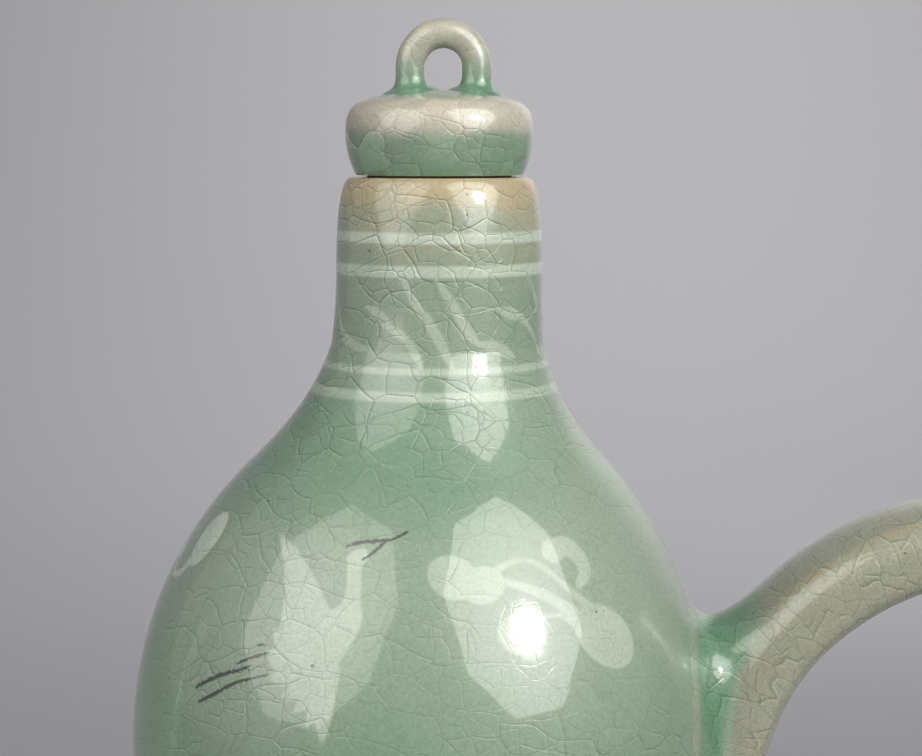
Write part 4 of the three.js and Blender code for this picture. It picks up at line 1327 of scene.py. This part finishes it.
def pierce_behind_spout(gourd):
    """The pouring hole in the lower gourd, cut by a round bar that lies along the spout's root."""
    along = SPOUT_LINE.read(SPOUT_LINE.tangents, np.array([0.04]))[0]
    start = SPOUT_LINE.points[0]
    mesh = bpy.data.meshes.new("pour_hole_tool")
    half = 22.0
    centre = Vector((start[0] + along[0] * 6, 0, start[1] + along[1] * 6)) * MM
    angle = np.arange(40) * 2 * math.pi / 40
    ring = np.stack([POUR_HOLE_RADIUS * np.cos(angle), POUR_HOLE_RADIUS * np.sin(angle),
                     np.zeros(40)], axis=1)
    ends = [np.array([[0, 0, -half]]), ring - [0, 0, half], ring + [0, 0, half],
            np.array([[0, 0, half]])]
    mesh.from_pydata((np.vstack(ends) * MM).tolist(), [], faces_over(ends, False))
    turn = Vector((along[0], 0, along[1])).to_track_quat("Z", "Y").to_matrix().to_4x4()
    mesh.transform(Matrix.Translation(centre) @ turn)
    tool = bpy.data.objects.new("pour_hole_tool", mesh)
    bpy.context.scene.collection.objects.link(tool)
    cut = gourd.modifiers.new("pour_hole", "BOOLEAN")
    cut.object, cut.operation, cut.solver = tool, "DIFFERENCE", "EXACT"
    graph = bpy.context.evaluated_depsgraph_get()
    pierced = bpy.data.meshes.new_from_object(gourd.evaluated_get(graph))
    gourd.modifiers.clear()
    gourd.data = pierced
    bpy.data.objects.remove(tool)


pierce_behind_spout(lower_gourd)


# The lid, in its own frame with its seat at zero, then lifted to the rim

LID_PLACE = np.eye(4)
LID_PLACE[:3, 3] = (float(lean_at(RIM_HEIGHT)), 0, RIM_HEIGHT + LID_GAP)


def lid_outline():
    return joined(
        bezier((LID_SEAT_RADIUS, 0), (LID_SEAT_RADIUS + 0.5, 1), (LID_RADIUS, 3),
               (LID_RADIUS, LID_WIDEST_HEIGHT)),
        bezier((LID_RADIUS, LID_WIDEST_HEIGHT), (LID_RADIUS, LID_HEIGHT - 1.85),
               (LID_RADIUS - 0.65, LID_HEIGHT - 0.65), (LID_RADIUS - 2.25, LID_HEIGHT)),
        bezier((LID_RADIUS - 2.25, LID_HEIGHT), (LID_RADIUS - 4.75, LID_HEIGHT + 0.9),
               (LID_RADIUS - 8.85, LID_HEIGHT + LID_CROWN), (0, LID_HEIGHT + LID_CROWN)),
    )


def lid_cap_piece():
    outline = spaced(lid_outline(), 0.3)
    rings = turned_rings(np.vstack([[[0, 0]], outline[:-1], [[0, outline[-1, 1]]]]), 240)
    own = np.vstack(rings)
    piece = mesh_piece("lid_cap_glazed", [ring + LID_PLACE[:3, 3] for ring in rings], lid_glaze, "lid",
                       ["lid_cap"])
    radius = np.hypot(own[:, 0], own[:, 1])
    turn = np.arctan2(own[:, 1], own[:, 0])

    # The glaze ran off the upper half, which is pale with a ragged edge. It pools low on the side
    # and round the loop's feet, and it is less crazed above.
    feet = np.minimum(np.hypot(own[:, 0] - LOOP_OFFSET - LOOP_HALF_SPAN, own[:, 1]),
                      np.hypot(own[:, 0] - LOOP_OFFSET + LOOP_HALF_SPAN, own[:, 1]))
    level = own[:, 2] + 0.35 * np.sin(3 * turn + 0.6) + 0.22 * np.sin(8 * turn)
    top = smoothstep(own[:, 2], LID_HEIGHT - 1.0, LID_HEIGHT)
    low_band = (1 - smoothstep(level, 3.6, 7.0)) * 0.12 + 0.3 * (1 - smoothstep(level, 0.5, 3.5))
    pool = np.maximum(low_band, 0.75 * top * (1 - smoothstep(feet, 3.0, 8.0)))
    thin = smoothstep(level, 3.6, 8.0) * (1 - 0.8 * top * (1 - smoothstep(radius, 7.5, 12.5)))
    store(piece, pool=pool, thin=thin * 0.95, edge=np.zeros(len(own)),
          **plain(own, 1 - 0.5 * smoothstep(level, 5.0, 9.0)))


def lid_plug_piece():
    radius = BORE_RADIUS - PLUG_CLEARANCE
    bottom = bezier((radius - PLUG_WALL, -PLUG_DEPTH + 0.6), (radius - PLUG_WALL, -PLUG_DEPTH),
                    (radius - PLUG_WALL + 0.6, -PLUG_DEPTH), (radius - PLUG_WALL + 0.8, -PLUG_DEPTH), 6)
    side = bezier((radius - 0.8, -PLUG_DEPTH), (radius - 0.2, -PLUG_DEPTH), (radius, -PLUG_DEPTH + 0.3),
                  (radius, -PLUG_DEPTH + 0.8), 6)
    profile = np.vstack([bottom, side, [[radius, 0], [radius - PLUG_WALL, 0]]])
    rings = [ring + LID_PLACE[:3, 3] for ring in turned_rings(profile, 160)]
    mesh_piece("lid_plug_unglazed", rings, clay, "lid", ["lid_plug"], endless=True)


def lid_loop_piece():
    place = np.eye(4)
    place[:3, 3] = (LOOP_OFFSET, 0, LID_HEIGHT + LID_CROWN)
    arch("lid_loop_glazed", LOOP_HALF_SPAN, LOOP_STRAIGHT, LOOP_ROD_RADIUS,
         PlacedWall(TurnedWall(lid_outline()), place), bury=2.5, fillet=LOOP_FILLET,
         placed=LID_PLACE @ place, material=lid_glaze, body="lid", node="lid_loop")


lid_cap_piece()
lid_plug_piece()
lid_loop_piece()


# The studio: a pale floor that sweeps up behind, two octagonal softboxes, a soft light from
# behind on the right, a lamp on the paper and a camera

LAMP_TARGET = Vector((0, 0, 190))
LAMP_WHITE = "#FFFDF9"
PAPER_GREY = "#ACABAF"
ROOM_GREY = "#C9CBD2"
ROOM_SHINE = 0.42
SOFTBOX_DISTANCE = 700.0
CORE_REACH = 125.0
CLOTH_REACH = 450.0
CARD_PLACE = Vector((490, 850, 540))
CARD_RADIUS = 620.0
CARD_SHINE = 0.72
PAPER_LAMP_PLACE = (200, 900, 900)
PAPER_LAMP_TARGET = (100, 1850, 450)
PAPER_LAMP_SHINE = 8.0


def sweep():
    """A floor that curves up to a wall."""
    wide, front, back, radius, high = 2600.0, -1500.0, 1900.0, 900.0, 2400.0
    turn = np.linspace(-math.pi / 2, 0, 30)
    side = np.vstack([[[front, 0]], np.stack([back - radius + radius * np.cos(turn),
                                              radius + radius * np.sin(turn)], axis=1), [[back, high]]])
    points = [(x, y, z) for x in (-wide, wide) for y, z in side]
    count = len(side)
    faces = [(k, k + count, k + count + 1, k + 1) for k in range(count - 1)]
    mesh = bpy.data.meshes.new("pale_sweep")
    mesh.from_pydata((np.array(points) * MM).tolist(), [], faces)
    mesh.shade_smooth()
    material, t = new_material("pale_grey_paper")
    surface = put(t, "BsdfPrincipled", {"Base Color": linear(PAPER_GREY), "Roughness": 0.9})
    put(t, "OutputMaterial", {"Surface": surface})
    mesh.materials.append(material)
    floor = bpy.data.objects.new("pale_sweep", mesh)
    bpy.context.scene.collection.objects.link(floor)


def lamp_panel(name, place, target, outline, shine, see_through=(0, 0, 0, 1)):
    """A panel that glows towards a target and casts no shadow. shine(t, spot) gives its brightness
    at a spot on it. see_through is black where nothing is seen through it, and white for clear."""
    mesh = bpy.data.meshes.new(name)
    mesh.from_pydata([(x * MM, y * MM, 0) for x, y in outline], [], [tuple(range(len(outline)))])
    material, t = new_material(name + "_cloth")
    spot = put(t, "TexCoord", output="Object")
    back = put(t, "NewGeometry", output="Backfacing")
    front = put(t, "Math", {0: 1.0, 1: back}, operation="SUBTRACT")
    strength = put(t, "Math", {0: shine(t, spot), 1: front}, operation="MULTIPLY")
    glow = put(t, "Emission", {"Color": linear(LAMP_WHITE), "Strength": strength})
    behind = put(t, "BsdfTransparent", {"Color": see_through})
    both = put(t, "AddShader", {0: glow, 1: behind})
    put(t, "OutputMaterial", {"Surface": both})
    mesh.materials.append(material)
    panel = bpy.data.objects.new(name, mesh)
    bpy.context.scene.collection.objects.link(panel)
    panel.location = Vector(place) * MM
    panel.rotation_mode = "QUATERNION"
    panel.rotation_quaternion = (Vector(target) - Vector(place)).to_track_quat("Z", "Y")
    panel.visible_camera = False
    panel.visible_shadow = False
    return panel


def softbox(name, azimuth, elevation, half_wide, half_high, strength, core, core_place, middle, dimmed):
    """An octagonal softbox that faces the ewer. Its core, where the lamp is, is core times as bright
    as the cloth, which is dimmed away from its middle."""
    a, e = math.radians(azimuth), math.radians(elevation)
    toward = Vector((math.sin(a) * math.cos(e), -math.cos(a) * math.cos(e), math.sin(e)))
    angle = np.radians(np.arange(8) * 45 + 22.5)
    ease = 1 / math.cos(math.radians(22.5))
    outline = ease * np.stack([half_wide * np.cos(angle), half_high * np.sin(angle)], axis=1)

    def shine(t, spot):
        off = put(t, "VectorMath", {0: spot, 1: (core_place[0] * MM, core_place[1] * MM, 0)},
                  output="Value", operation="DISTANCE")
        hot = put(t, "MapRange", {"Value": off, "From Min": 0.0, "From Max": CORE_REACH * MM,
                                  "To Min": core * strength, "To Max": strength},
                  interpolation_type="SMOOTHERSTEP")
        fall = put(t, "VectorMath", {0: spot, 1: (middle * MM, 0, 0)}, output="Value",
                   operation="DISTANCE")
        fall = put(t, "MapRange", {"Value": fall, "From Min": 0.0, "From Max": CLOTH_REACH * MM,
                                   "To Min": 1.1, "To Max": dimmed})
        return put(t, "Math", {0: hot, 1: fall}, operation="MULTIPLY")

    lamp_panel(name, LAMP_TARGET + toward * SOFTBOX_DISTANCE, LAMP_TARGET, outline.tolist(), shine)


def bounce_card():
    """A round, clear light that fades to its rim. It brightens the right shoulder and the strap's
    back, as the bright side of the room does, and what is behind it shows through."""
    angle = np.radians(np.arange(24) * 15)
    outline = CARD_RADIUS * np.stack([np.cos(angle), np.sin(angle)], axis=1)

    def shine(t, spot):
        off = put(t, "VectorMath", {0: spot}, output="Value", operation="LENGTH")
        return put(t, "MapRange", {"Value": off, "From Min": 0.0, "From Max": CARD_RADIUS * MM,
                                   "To Min": CARD_SHINE, "To Max": 0.0},
                   interpolation_type="SMOOTHSTEP")

    lamp_panel("bounce_card", CARD_PLACE, LAMP_TARGET, outline.tolist(), shine,
               see_through=(1, 1, 1, 1))


def background_lamp():
    """Lights the paper behind the ewer, most in its upper part, and not the ewer."""
    outline = [(-350, -250), (350, -250), (350, 250), (-350, 250)]
    lamp = lamp_panel("background_lamp", PAPER_LAMP_PLACE, PAPER_LAMP_TARGET, outline,
                      lambda t, spot: PAPER_LAMP_SHINE)
    lamp.visible_glossy = False


def world_light():
    world = bpy.data.worlds.new("grey_room")
    world.use_nodes = True
    t = world.node_tree
    t.nodes.clear()
    light = put(t, "Background", {"Color": linear(ROOM_GREY), "Strength": ROOM_SHINE})
    put(t, "OutputWorld", {"Surface": light})
    bpy.context.scene.world = world


# The camera that the photograph's outline fits, in millimetres, degrees and pixels
CAMERA_PLACE = (5.571, -314.286, 252.67)
CAMERA_PITCH = -6.2
PHOTO_WIDTH = 922
FOCAL_PIXELS = 2200.0


def camera():
    data = bpy.data.cameras.new("photo_camera")
    data.sensor_width = 36.0
    data.lens = FOCAL_PIXELS / PHOTO_WIDTH * data.sensor_width
    data.clip_start, data.clip_end = 0.01, 20.0
    view = bpy.data.objects.new("photo_camera", data)
    bpy.context.scene.collection.objects.link(view)
    view.location = Vector(CAMERA_PLACE) * MM
    view.rotation_euler = (math.radians(90 + CAMERA_PITCH), 0, 0)
    bpy.context.scene.camera = view


sweep()
softbox("left_softbox", azimuth=-50, elevation=33.4, half_wide=388, half_high=398, strength=2.55,
        core=1.0, core_place=(0, 0), middle=-80, dimmed=0.7)
softbox("right_softbox", azimuth=46, elevation=35.5, half_wide=330, half_high=382, strength=4.1,
        core=7.0, core_place=(-29, -112), middle=0, dimmed=0.85)
bounce_card()
background_lamp()
world_light()
camera()
bpy.context.scene.view_settings.view_transform = "Standard"
